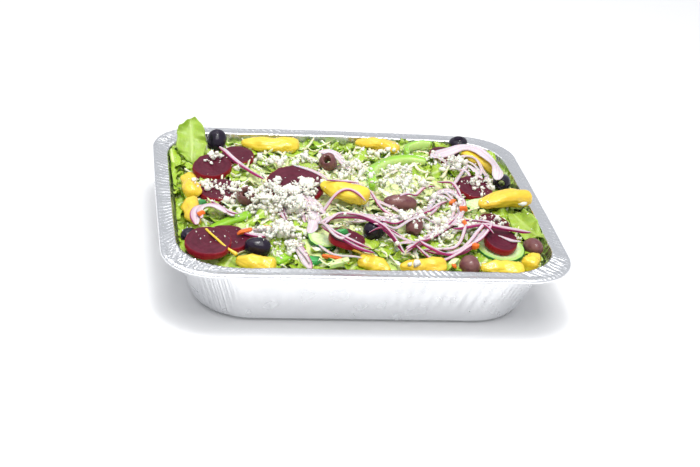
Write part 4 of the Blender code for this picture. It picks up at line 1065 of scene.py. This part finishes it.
def onion_part(path, tops, width, height, skin, index):
    """One band of onion with its marks: length along it, place across it towards the skin, and a tint."""
    points, length, across = band(path, tops, width, height, ONION_STEP, 0.30, 0.35, index)
    edge = across * np.sign(skin) if abs(skin) == 1 else across * 0.2 - 0.5
    marks = marks_for(points, length[:, None] / 0.02, edge[None], index * 3.1 + across[None])
    return points, quads(*points.shape[:2]), marks


def onion_slivers(relief):
    """Thin slivers of onion that lie across the toppings."""
    parts = []
    slices = {name: (np.array(route, float), skin) for name, route, _, _, skin in ONIONS}
    nested = [((slices[name][0] - slices[name][0].mean(0)) * size + slices[name][0].mean(0), width, 1.6,
               slices[name][1]) for name, size, width in NESTED]
    for index, (route, width, height, skin) in enumerate(list(SLIVERS) + nested):
        path = smooth_path([(x, y, 0.0) for x, y in route], ONION_STEP)
        parts.append(onion_part(path, laid_tops(relief, path, height), width, height, skin, index + 20))
    add_piece("Onion_slivers", parts, bpy.data.materials["red onion"])


def green_pepper_strips():
    """Pieces of green pepper: thick bands, skin on the outer side and a paler wall inside."""
    material = green_pepper_finish()
    for index, (name, route, width, height) in enumerate(STRIPS):
        path = smooth_path([(x, y, 0.0) for x, y in route], STRIP_STEP)
        node = "pepper_" + name
        tops = solid_tops(node, path)
        points, length, across = band(path, tops, width, height, STRIP_STEP, 0.12, 0.75, index + 3)
        skin = across[None] * (-1 if index < 2 else 0.2)
        marks = marks_for(points, length[:, None] / 0.02, skin, index * 0.4)
        add_piece("Green_" + node, [(points, quads(*points.shape[:2]), marks)], material, node)


# What lies loose on the heap

class Relief:
    """Heights over the pan on a square grid: the top of what is laid, and the underside of the toppings."""
    step = 0.0008

    def __init__(self, skip):
        self.x = np.arange(-0.160, 0.160, self.step)
        self.y = np.arange(-0.134, 0.134, self.step)
        points, faces = [], []
        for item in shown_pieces():
            if item.name in skip:
                continue
            mesh = item.data
            co = np.empty(len(mesh.vertices) * 3, np.float32)
            mesh.vertices.foreach_get("co", co)
            mesh.calc_loop_triangles()
            corners = np.empty(len(mesh.loop_triangles) * 3, np.int32)
            mesh.loop_triangles.foreach_get("vertices", corners)
            faces += (corners.reshape(-1, 3) + len(points)).tolist()
            points += co.reshape(-1, 3).tolist()
        tree = BVHTree.FromPolygons(points, faces)
        floor = bed_height(*np.meshgrid(self.x, self.y, indexing="ij"))
        self.top = floor.copy()
        self.under = np.full(floor.shape, 1.0)
        for i, x in enumerate(self.x):
            for j, y in enumerate(self.y):
                hit = tree.ray_cast(Vector((x, y, 0.15)), Vector((0, 0, -1)))
                if hit[0] is not None:
                    self.top[i, j] = max(floor[i, j], hit[0].z)
                    rise = tree.ray_cast(Vector((x, y, floor[i, j] - TOPPING_SINK)), Vector((0, 0, 1)))
                    self.under[i, j] = rise[0].z if rise[0] is not None else 1.0
        # Lowest top of the toppings within a few cells, less a little
        reach = 4
        beside = np.pad(np.where(self.under < 1.0, self.top, 1.0), reach, mode="edge")
        window = (2 * reach + 1, 2 * reach + 1)
        self.beside = np.lib.stride_tricks.sliding_window_view(beside, window).min((-1, -2)) - 0.0008

    def cells(self, places):
        """Grid cells under places."""
        i = np.clip(((places[..., 0] - self.x[0]) / self.step).round().astype(int), 0, len(self.x) - 1)
        j = np.clip(((places[..., 1] - self.y[0]) / self.step).round().astype(int), 0, len(self.y) - 1)
        return i, j

    def rest(self, x, y, size):
        """Height at which a crumb of this size rests here; the heap grows by it."""
        i, j = (int(value[0]) for value in self.cells(np.array([[x, y]])))
        reach = max(1, int(size * 0.5 / self.step))
        window = (slice(max(0, i - reach), i + reach + 1), slice(max(0, j - reach), j + reach + 1))
        level = 0.6 * self.top[i, j] + 0.4 * self.top[window].mean() + size * 0.16
        uneven = 1 - 0.22 * abs(sin(x / 0.0041 + 1) * sin(y / 0.0053))
        level = min(level, bed_height(x, y) + PILE_HEIGHT * uneven)
        spot = (self.x[window[0]][:, None] - x) ** 2 + (self.y[window[1]][None] - y) ** 2
        dome = level + 0.24 * size * np.sqrt(np.maximum(0.0, 1 - spot / (0.55 * size) ** 2))
        raised = np.maximum(self.top[window], dome)
        self.top[window] = np.where(spot < (0.5 * size) ** 2, raised, self.top[window])
        return level


def even_places(count, draw):
    """Places spread evenly over the bed by the golden angle, each moved a little."""
    index = np.arange(count)
    angle = index * GOLDEN_ANGLE
    share = np.sqrt((index + 0.5) / count)
    corner = 1 + 0.26 * np.abs(np.sin(2 * angle))
    x = 0.146 * share * np.cos(angle) * corner + draw.normal(0, 0.003, count)
    y = 0.116 * share * np.sin(angle) * corner + draw.normal(0, 0.003, count)
    return np.clip(x, -0.146, 0.146), np.clip(y, -0.118, 0.116)


def below_toppings(points, relief):
    """Points under a topping pushed down to just beneath it, and those beside one kept lower than its top."""
    cells = relief.cells(points)
    low = bed_height(points[..., 0], points[..., 1]) - 0.001
    points = points.copy()
    points[..., 2] = np.minimum(points[..., 2], np.maximum(relief.beside[cells], low))
    limit = relief.under[cells] - 0.0004
    points[..., 2] = np.where(points[..., 2] > limit, np.maximum(limit, low - 0.001), points[..., 2])
    return points


def scattered_leaves(relief):
    """Cut lettuce over the bed, with the bright leaves seen in the photo's gaps, kept under the toppings."""
    draw = np.random.default_rng(SEED)
    count = sizes().leaves
    x, y = even_places(count, draw)
    spots = np.array(LEAF_SPOTS, float)
    length = np.concatenate((draw.uniform(0.017, 0.034, count), spots[:, 3] * MM))
    width = np.concatenate((draw.uniform(0.012, 0.022, count), spots[:, 4] * MM))
    total = count + len(spots)
    middle = np.maximum(0.0, 1 - (x / 0.115) ** 2 - (y / 0.085) ** 2)
    tint = np.concatenate((0.16 + 0.66 * draw.uniform(0.0, 1.0, count) + 0.85 * middle,
                           np.full(len(spots), 0.42)))
    angles = np.stack((draw.normal(0, 0.24, total), draw.normal(0, 0.20, total),
                       np.concatenate((draw.uniform(0, 2 * pi, count), np.radians(spots[:, 2])))), -1)
    place = np.stack((np.concatenate((x, spots[:, 0] * MM)), np.concatenate((y, spots[:, 1] * MM))), -1)
    lift = np.concatenate((draw.uniform(0.0002, 0.0032, count), spots[:, 5] * MM * 0.8))
    height = bed_height(place[:, 0], place[:, 1]) + lift
    points, marks = leaf_points(length, width, draw.uniform(0.0010, 0.0024, total),
                                draw.uniform(-0.002, 0.003, total), draw.uniform(0, 6.3, total), 15, 8, 0.0005)
    points = turned(points, angles, np.concatenate((place, height[:, None]), -1))
    points = below_toppings(inside_pan(points, 0.0012), relief)
    marks[..., 2] = tint[:, None, None]
    material = leaf_finish("cut lettuce", colours().leaf, colours().leaf_dark, colours().leaf_pale, 0.28)
    faces = quads(*points.shape[1:3], copies=total)
    add_piece("Cut_lettuce", [(points, faces, marks)], material)


def shreds(relief):
    """Pale shreds: narrow leaves twisted and bent over the bed."""
    draw = np.random.default_rng(SEED + 1)
    count = sizes().shreds
    x, y = even_places(count, draw)
    x, y = 0.88 * x, 0.88 * y
    place = np.stack((x, y, bed_height(x, y) + draw.uniform(0.0018, 0.0052, count)), -1)
    points, marks = leaf_points(draw.uniform(0.010, 0.026, count), draw.uniform(0.0022, 0.0052, count),
                                draw.uniform(0.0003, 0.0009, count), draw.uniform(-0.001, 0.001, count),
                                draw.uniform(0, 6.3, count), 12, 4, 0.0011)
    bend = draw.normal(0, 0.004, count)[:, None, None]
    share = marks[..., 0] * 2 - 1
    points[..., 2] += bend * share ** 2
    points[..., 1] += draw.normal(0, 0.003, count)[:, None, None] * share ** 2
    angles = np.stack((draw.normal(0, 0.5, count), draw.normal(0, 0.2, count),
                       draw.uniform(0, 2 * pi, count)), -1)
    points = below_toppings(inside_pan(turned(points, angles, place), 0.0012), relief)
    marks[..., 2] = draw.uniform(0, 1, count)[:, None, None]
    finish = Finish("pale shreds", roughness=0.3, patch=70.0, grain=500.0, contrast=0.9, Subsurface_Weight=0.3,
                    Subsurface_Scale=0.002)
    shade = finish.blend(finish.step(finish.tint, 0.30, 0.8), colours().shred, (0.86, 0.83, 0.70))
    shade = finish.blend(finish.sum("MULTIPLY", finish.patches, 0.35), shade, colours().leaf_pale)
    finish.relief(finish.grain, 0.0003, 0.6)
    faces = quads(*points.shape[1:3], copies=count)
    add_piece("Pale_shreds", [(points, faces, marks)], finish.paint(shade))


def lump_points(size, draw, rings=4, sides=6, cuts=7):
    """Broken crumbs: a ball's grid drawn in to the nearest of a few random planes, so the sides are flat."""
    count = len(size)
    lean = np.linspace(-pi / 2, pi / 2, rings)[:, None]
    angle = (np.arange(sides) / sides * 2 * pi)[None]
    ball = np.stack((np.cos(lean) * np.cos(angle), np.cos(lean) * np.sin(angle), np.sin(lean) + 0 * angle), -1)
    planes = draw.normal(size=(count, cuts, 3))
    planes /= np.linalg.norm(planes, axis=2, keepdims=True)
    depth = draw.uniform(0.38, 0.92, (count, cuts))
    facing = np.einsum("rsj,nkj->nrsk", ball, planes)
    reach = np.where(facing > 0.05, depth[:, None, None] / np.maximum(facing, 0.05), 9.0).min(-1)
    reach = np.minimum(reach, 1.05) * draw.uniform(0.9, 1.08, reach.shape)
    reach[:, 0] = reach[:, 0, :1]
    reach[:, -1] = reach[:, -1, :1]
    stretch = draw.uniform(0.65, 1.30, (count, 1, 1, 3))
    return ball[None] * reach[..., None] * stretch * size[:, None, None, None] / 2


def crumbled_cheese(relief):
    """White cheese crumbled over the salad, largest first: each rests on what is below, so heaps grow."""
    draw = np.random.default_rng(SEED + 2)
    rows = []
    for x, y, spread_x, spread_y, count, small, large in CRUMB_HEAPS:
        number = max(1, round(1.4 * count * sizes().crumbs))
        size = 0.6 * small + (0.95 * large - 0.6 * small) * draw.uniform(0, 1, number) ** 3.0
        if large > 4:
            flat = round(FLAT_LUMPS * count)
            rows.append(np.stack((draw.normal(x, 0.7 * spread_x, flat), draw.normal(y, 0.7 * spread_y, flat),
                                  draw.uniform(1.1, 1.7, flat) * large), -1))
        rows.append(np.stack((draw.normal(x, spread_x, number), draw.normal(y, spread_y, number), size), -1))
    rows.append(np.array(CHEESE_CUBES))
    rows = np.vstack(rows) * MM
    spots = inside_pan(np.concatenate((rows[:, :2], np.full((len(rows), 1), 0.05)), -1), 0.004)
    size = rows[:, 2]
    order = np.argsort(-size[:-len(CHEESE_CUBES)], kind="stable")
    order = np.concatenate((order, np.arange(len(rows) - len(CHEESE_CUBES), len(rows))))
    spots, size = spots[order], size[order]
    for index, (spot, extent) in enumerate(zip(spots, size)):
        spots[index, 2] = relief.rest(spot[0], spot[1], extent)
    points = lump_points(size, draw)
    broad = np.clip(size / 0.006 - 1, 0, 1)
    points[..., 2] *= (1 - 0.6 * broad)[:, None, None]
    angles = draw.uniform(0, 2 * pi, (len(size), 3))
    angles[:, :2] *= (1 - broad)[:, None]
    points = turned(points, angles, spots)
    marks = marks_for(points, 0.5, 0.5, 0.0)
    marks[..., 2] = draw.uniform(0, 1, len(size))[:, None, None]
    material = plain_food("crumbled cheese", colours().cheese, dimmed(colours().cheese, 0.86),
                          roughness=0.6, patch=150.0, grain=900.0, depth=0.0005, Subsurface_Weight=0.12,
                          Subsurface_Scale=0.002)
    faces = quads(*points.shape[1:3], copies=len(size))
    add_piece("Crumbled_cheese", [(points, faces, marks)], material, smooth=False)


def chunk_points(rows, draw):
    """Cut pieces with soft edges: boxes of the sizes given, in millimetres, each a little uneven and tapered.

    A ball's grid whose sines and cosines are raised to a low power, so that it nearly fills its box.
    """
    extent = np.array([row[3:6] for row in rows], float) * MM
    lean = np.linspace(-pi / 2, pi / 2, 13)[:, None]
    angle = (np.arange(24) / 24 * 2 * pi)[None]
    corner = 0.32
    flat = np.cos(lean) ** corner
    box = np.stack((flat * np.sign(np.cos(angle)) * np.abs(np.cos(angle)) ** corner,
                    flat * np.sign(np.sin(angle)) * np.abs(np.sin(angle)) ** corner,
                    np.sign(np.sin(lean)) * np.abs(np.sin(lean)) ** corner + 0 * angle), -1)
    shear = draw.normal(0, 0.16, (len(rows), 3, 3)) + np.eye(3)
    return np.einsum("nij,rsj->nrsi", shear, box) * extent[:, None, None] / 2


def chunks(name, rows, relief, material, draw):
    """Small cut pieces at their places, resting on what is below."""
    points = chunk_points(rows, draw)
    places = np.array([(x * MM, y * MM, relief.rest(x * MM, y * MM, height * MM) - height * MM * 0.1)
                       for x, y, *_, height in rows])
    angles = np.stack((draw.normal(0, 0.15, len(rows)), draw.normal(0, 0.15, len(rows)),
                       np.radians([row[2] for row in rows])), -1)
    points = turned(points, angles, places)
    add_piece(name, [(points, quads(*points.shape[1:3], copies=len(rows)), marks_for(points, 0.9, 0.5, 0.5))],
              material)


def small_chunks(relief):
    """Carrot sticks, pale chunks and dark-skinned cucumber chunks."""
    draw = np.random.default_rng(SEED + 3)
    carrot = plain_food("carrot", colours().carrot, dimmed(colours().carrot, 0.8), roughness=0.3,
                        patch=120.0, grain=500.0, Subsurface_Weight=0.2, Subsurface_Scale=0.002)
    rows = [(x, y, turn, length, width, width * 0.85) for x, y, turn, length, width in CARROTS]
    chunks("Carrot_sticks", rows, relief, carrot, draw)
    pale = plain_food("pale chunk", colours().leaf_pale, colours().flesh, roughness=0.25,
                      patch=90.0, grain=500.0, Subsurface_Weight=0.3, Subsurface_Scale=0.002)
    chunks("Pale_chunks", PALE_CHUNKS, relief, pale, draw)
    dark = plain_food("cucumber skin", colours().skin, dimmed(colours().skin, 2.2), roughness=0.2,
                      patch=120.0, grain=400.0, Coat_Weight=0.4, Coat_Roughness=0.1)
    chunks("Cucumber_skin_chunks", DARK_CHUNKS, relief, dark, draw)


# Stage

# Focal length and width of the photo, in pixels
FOCAL_LENGTH, PICTURE_WIDTH = 1526.7, 700.0


def add_light(name, place, aim, size, power):
    """A large square soft light aimed at a point."""
    data = bpy.data.lights.new(name, "AREA")
    data.shape = "SQUARE"
    data.size = size
    data.energy = power
    item = bpy.data.objects.new(name, data)
    bpy.context.scene.collection.objects.link(item)
    item.location = place
    item.rotation_euler = (Vector(aim) - Vector(place)).to_track_quat("-Z", "Y").to_euler()
    item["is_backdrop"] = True


def studio_world():
    """A bright white room that is greyer low at the back, where the rim's reflections look."""
    world = bpy.data.worlds.new("Studio")
    world.use_nodes = True
    tree = world.node_tree
    way = tree.nodes.new("ShaderNodeTexCoord")
    split = tree.nodes.new("ShaderNodeSeparateXYZ")
    tree.links.new(way.outputs["Generated"], split.inputs[0])
    steps = []
    for socket, low, high, least in (("Z", 0.92, 0.58, 0.0), ("Y", -0.1, 0.6, 0.45)):
        step = tree.nodes.new("ShaderNodeMapRange")
        step.interpolation_type = "SMOOTHSTEP"
        step.inputs["From Min"].default_value = low
        step.inputs["From Max"].default_value = high
        step.inputs["To Min"].default_value = least
        tree.links.new(split.outputs[socket], step.inputs["Value"])
        steps.append(step.outputs["Result"])
    both = tree.nodes.new("ShaderNodeMath")
    both.operation = "MULTIPLY"
    tree.links.new(steps[0], both.inputs[0])
    tree.links.new(steps[1], both.inputs[1])
    shade = tree.nodes.new("ShaderNodeMix")
    shade.data_type = "RGBA"
    shade.inputs[6].default_value = (0.96, 0.97, 1.0, 1.0)
    shade.inputs[7].default_value = (0.65, 0.67, 0.71, 1.0)
    tree.links.new(both.outputs[0], shade.inputs[0])
    tree.links.new(shade.outputs[2], tree.nodes["Background"].inputs["Color"])
    tree.nodes["Background"].inputs["Strength"].default_value = 0.85
    return world


def studio():
    """White floor, soft lights, and the camera at the photo's angle."""
    scene = bpy.context.scene
    finish = Finish("white floor", roughness=0.6, patch=2.0, grain=40.0, contrast=0.2, Specular_IOR_Level=0.2)
    shade = finish.blend(finish.patches, colours().floor, dimmed(colours().floor, 0.995))
    mesh = bpy.data.meshes.new("Floor")
    reach = 6.0
    corners = [(-reach, -reach, 0), (reach, -reach, 0), (reach, reach, 0), (-reach, reach, 0)]
    mesh.from_pydata(corners, [], [(0, 1, 2, 3)])
    mesh.materials.append(finish.paint(shade))
    floor = bpy.data.objects.new("Floor", mesh)
    scene.collection.objects.link(floor)
    floor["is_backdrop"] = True
    scene.world = studio_world()
    add_light("Key", (0.0, -0.62, 1.68), (0.0, 0.0, 0.04), 1.2, 18.5)
    add_light("Fill", (-0.3, 0.5, 1.9), (0.0, 0.0, 0.04), 1.8, 10.0)
    add_light("Glint", (-0.10, -0.35, 1.4), (0.0, 0.0, 0.04), 0.22, 4.5)
    # The photo's camera, fitted to the pan's outline: angles, distance, and the floor point in its middle
    azimuth, elevation, roll, distance = -0.198, 0.484, 0.116, 1.3375
    target = Vector((0.0100, 0.0427, 0.0))
    back = Vector((sin(azimuth) * cos(elevation), -cos(azimuth) * cos(elevation), sin(elevation)))
    right = Vector((cos(azimuth), sin(azimuth), 0.0))
    up = back.cross(right)
    tilted_right = right * cos(roll) + up * sin(roll)
    tilted_up = up * cos(roll) - right * sin(roll)
    data = bpy.data.cameras.new("Camera")
    data.sensor_width = 36.0
    data.lens = FOCAL_LENGTH * data.sensor_width / PICTURE_WIDTH
    camera = bpy.data.objects.new("Camera", data)
    scene.collection.objects.link(camera)
    camera.matrix_world = Matrix((tilted_right, tilted_up, back)).transposed().to_4x4()
    camera.location = target + back * distance
    scene.camera = camera
    scene.view_settings.view_transform = "Standard"


def relief_of(skip):
    """The heights of what is laid so far, apart from the named pieces."""
    bpy.context.view_layer.update()
    return Relief(skip)


class MEAL_OT_foil_pan(bpy.types.Operator):
    """Make the fluted foil pan with its rolled rim"""
    bl_idname = "meal.foil_pan"
    bl_label = "Foil pan"

    def execute(self, context):
        foil_pan()
        return {"FINISHED"}


class MEAL_OT_salad_bed(bpy.types.Operator):
    """Make the heap under the leaves"""
    bl_idname = "meal.salad_bed"
    bl_label = "Salad bed"

    def execute(self, context):
        salad_bed()
        return {"FINISHED"}


class MEAL_OT_rim_leaves(bpy.types.Operator):
    """Make the large leaves that stand above the rim"""
    bl_idname = "meal.rim_leaves"
    bl_label = "Rim leaves"

    def execute(self, context):
        rim_leaves()
        return {"FINISHED"}


class MEAL_OT_beet_slices(bpy.types.Operator):
    """Make the beet slices"""
    bl_idname = "meal.beet_slices"
    bl_label = "Beet slices"

    def execute(self, context):
        beet_slices()
        return {"FINISHED"}


class MEAL_OT_pepperoncini(bpy.types.Operator):
    """Make the pickled peppers and their stems"""
    bl_idname = "meal.pepperoncini"
    bl_label = "Pepperoncini"

    def execute(self, context):
        pepperoncini()
        return {"FINISHED"}


class MEAL_OT_olives(bpy.types.Operator):
    """Make the black and the brown olives"""
    bl_idname = "meal.olives"
    bl_label = "Olives"

    def execute(self, context):
        olives()
        return {"FINISHED"}


class MEAL_OT_cucumber_slices(bpy.types.Operator):
    """Make the cucumber slices"""
    bl_idname = "meal.cucumber_slices"
    bl_label = "Cucumber slices"

    def execute(self, context):
        cucumber_slices()
        return {"FINISHED"}


class MEAL_OT_green_pepper(bpy.types.Operator):
    """Make the green pepper strips"""
    bl_idname = "meal.green_pepper"
    bl_label = "Green pepper"

    def execute(self, context):
        green_pepper_strips()
        return {"FINISHED"}


class MEAL_OT_onion_strands(bpy.types.Operator):
    """Make the slices of red onion"""
    bl_idname = "meal.onion_strands"
    bl_label = "Onion strands"

    def execute(self, context):
        onion_strands()
        return {"FINISHED"}


class MEAL_OT_loose_leaves(bpy.types.Operator):
    """Lay cut lettuce and pale shreds on the bed, under the toppings"""
    bl_idname = "meal.loose_leaves"
    bl_label = "Loose leaves"

    def execute(self, context):
        relief = relief_of(("Foil_pan", "Salad_bed"))
        scattered_leaves(relief)
        shreds(relief)
        return {"FINISHED"}


class MEAL_OT_onion_slivers(bpy.types.Operator):
    """Lay loose slivers of onion across the toppings"""
    bl_idname = "meal.onion_slivers"
    bl_label = "Onion slivers"

    def execute(self, context):
        onion_slivers(relief_of(("Foil_pan",)))
        return {"FINISHED"}


class MEAL_OT_crumbs(bpy.types.Operator):
    """Lay carrot sticks, small chunks and crumbled cheese on the salad"""
    bl_idname = "meal.crumbs"
    bl_label = "Chunks and crumbs"

    def execute(self, context):
        relief = relief_of(("Foil_pan",))
        small_chunks(relief)
        crumbled_cheese(relief)
        return {"FINISHED"}


class MEAL_OT_studio(bpy.types.Operator):
    """Make the floor, the lights and the camera"""
    bl_idname = "meal.studio"
    bl_label = "Studio"

    def execute(self, context):
        studio()
        return {"FINISHED"}


STEPS = (MEAL_OT_foil_pan, MEAL_OT_salad_bed, MEAL_OT_rim_leaves, MEAL_OT_beet_slices, MEAL_OT_pepperoncini,
         MEAL_OT_olives, MEAL_OT_cucumber_slices, MEAL_OT_green_pepper, MEAL_OT_onion_strands,
         MEAL_OT_loose_leaves, MEAL_OT_onion_slivers, MEAL_OT_crumbs, MEAL_OT_studio)


class MEAL_PT_panel(bpy.types.Panel):
    """Sizes, colours and steps of the meal"""
    bl_idname = "MEAL_PT_panel"
    bl_label = "Foil tray meal"
    bl_space_type = "VIEW_3D"
    bl_region_type = "UI"
    bl_category = "Meal"

    def draw(self, context):
        for group in (context.scene.meal_sizes, context.scene.meal_colours):
            column = self.layout.column(align=True)
            for name in group.bl_rna.properties.keys():
                if name not in ("rna_type", "name"):
                    column.prop(group, name)
        for step in STEPS:
            self.layout.operator(step.bl_idname)


CLASSES = (MealSizes, MealColours, *STEPS, MEAL_PT_panel)


def register():
    """Register the classes and the scene's settings."""
    for item in CLASSES:
        bpy.utils.register_class(item)
    bpy.types.Scene.meal_sizes = bpy.props.PointerProperty(type=MealSizes)
    bpy.types.Scene.meal_colours = bpy.props.PointerProperty(type=MealColours)


def unregister():
    """Take the settings and classes out again."""
    del bpy.types.Scene.meal_colours
    del bpy.types.Scene.meal_sizes
    for item in reversed(CLASSES):
        bpy.utils.unregister_class(item)


def main():
    """Register the classes, then dress the solids step by step."""
    register()
    for step in STEPS:
        group, name = step.bl_idname.split(".")
        getattr(getattr(bpy.ops, group), name)()


if __name__ == "__main__":
    main()
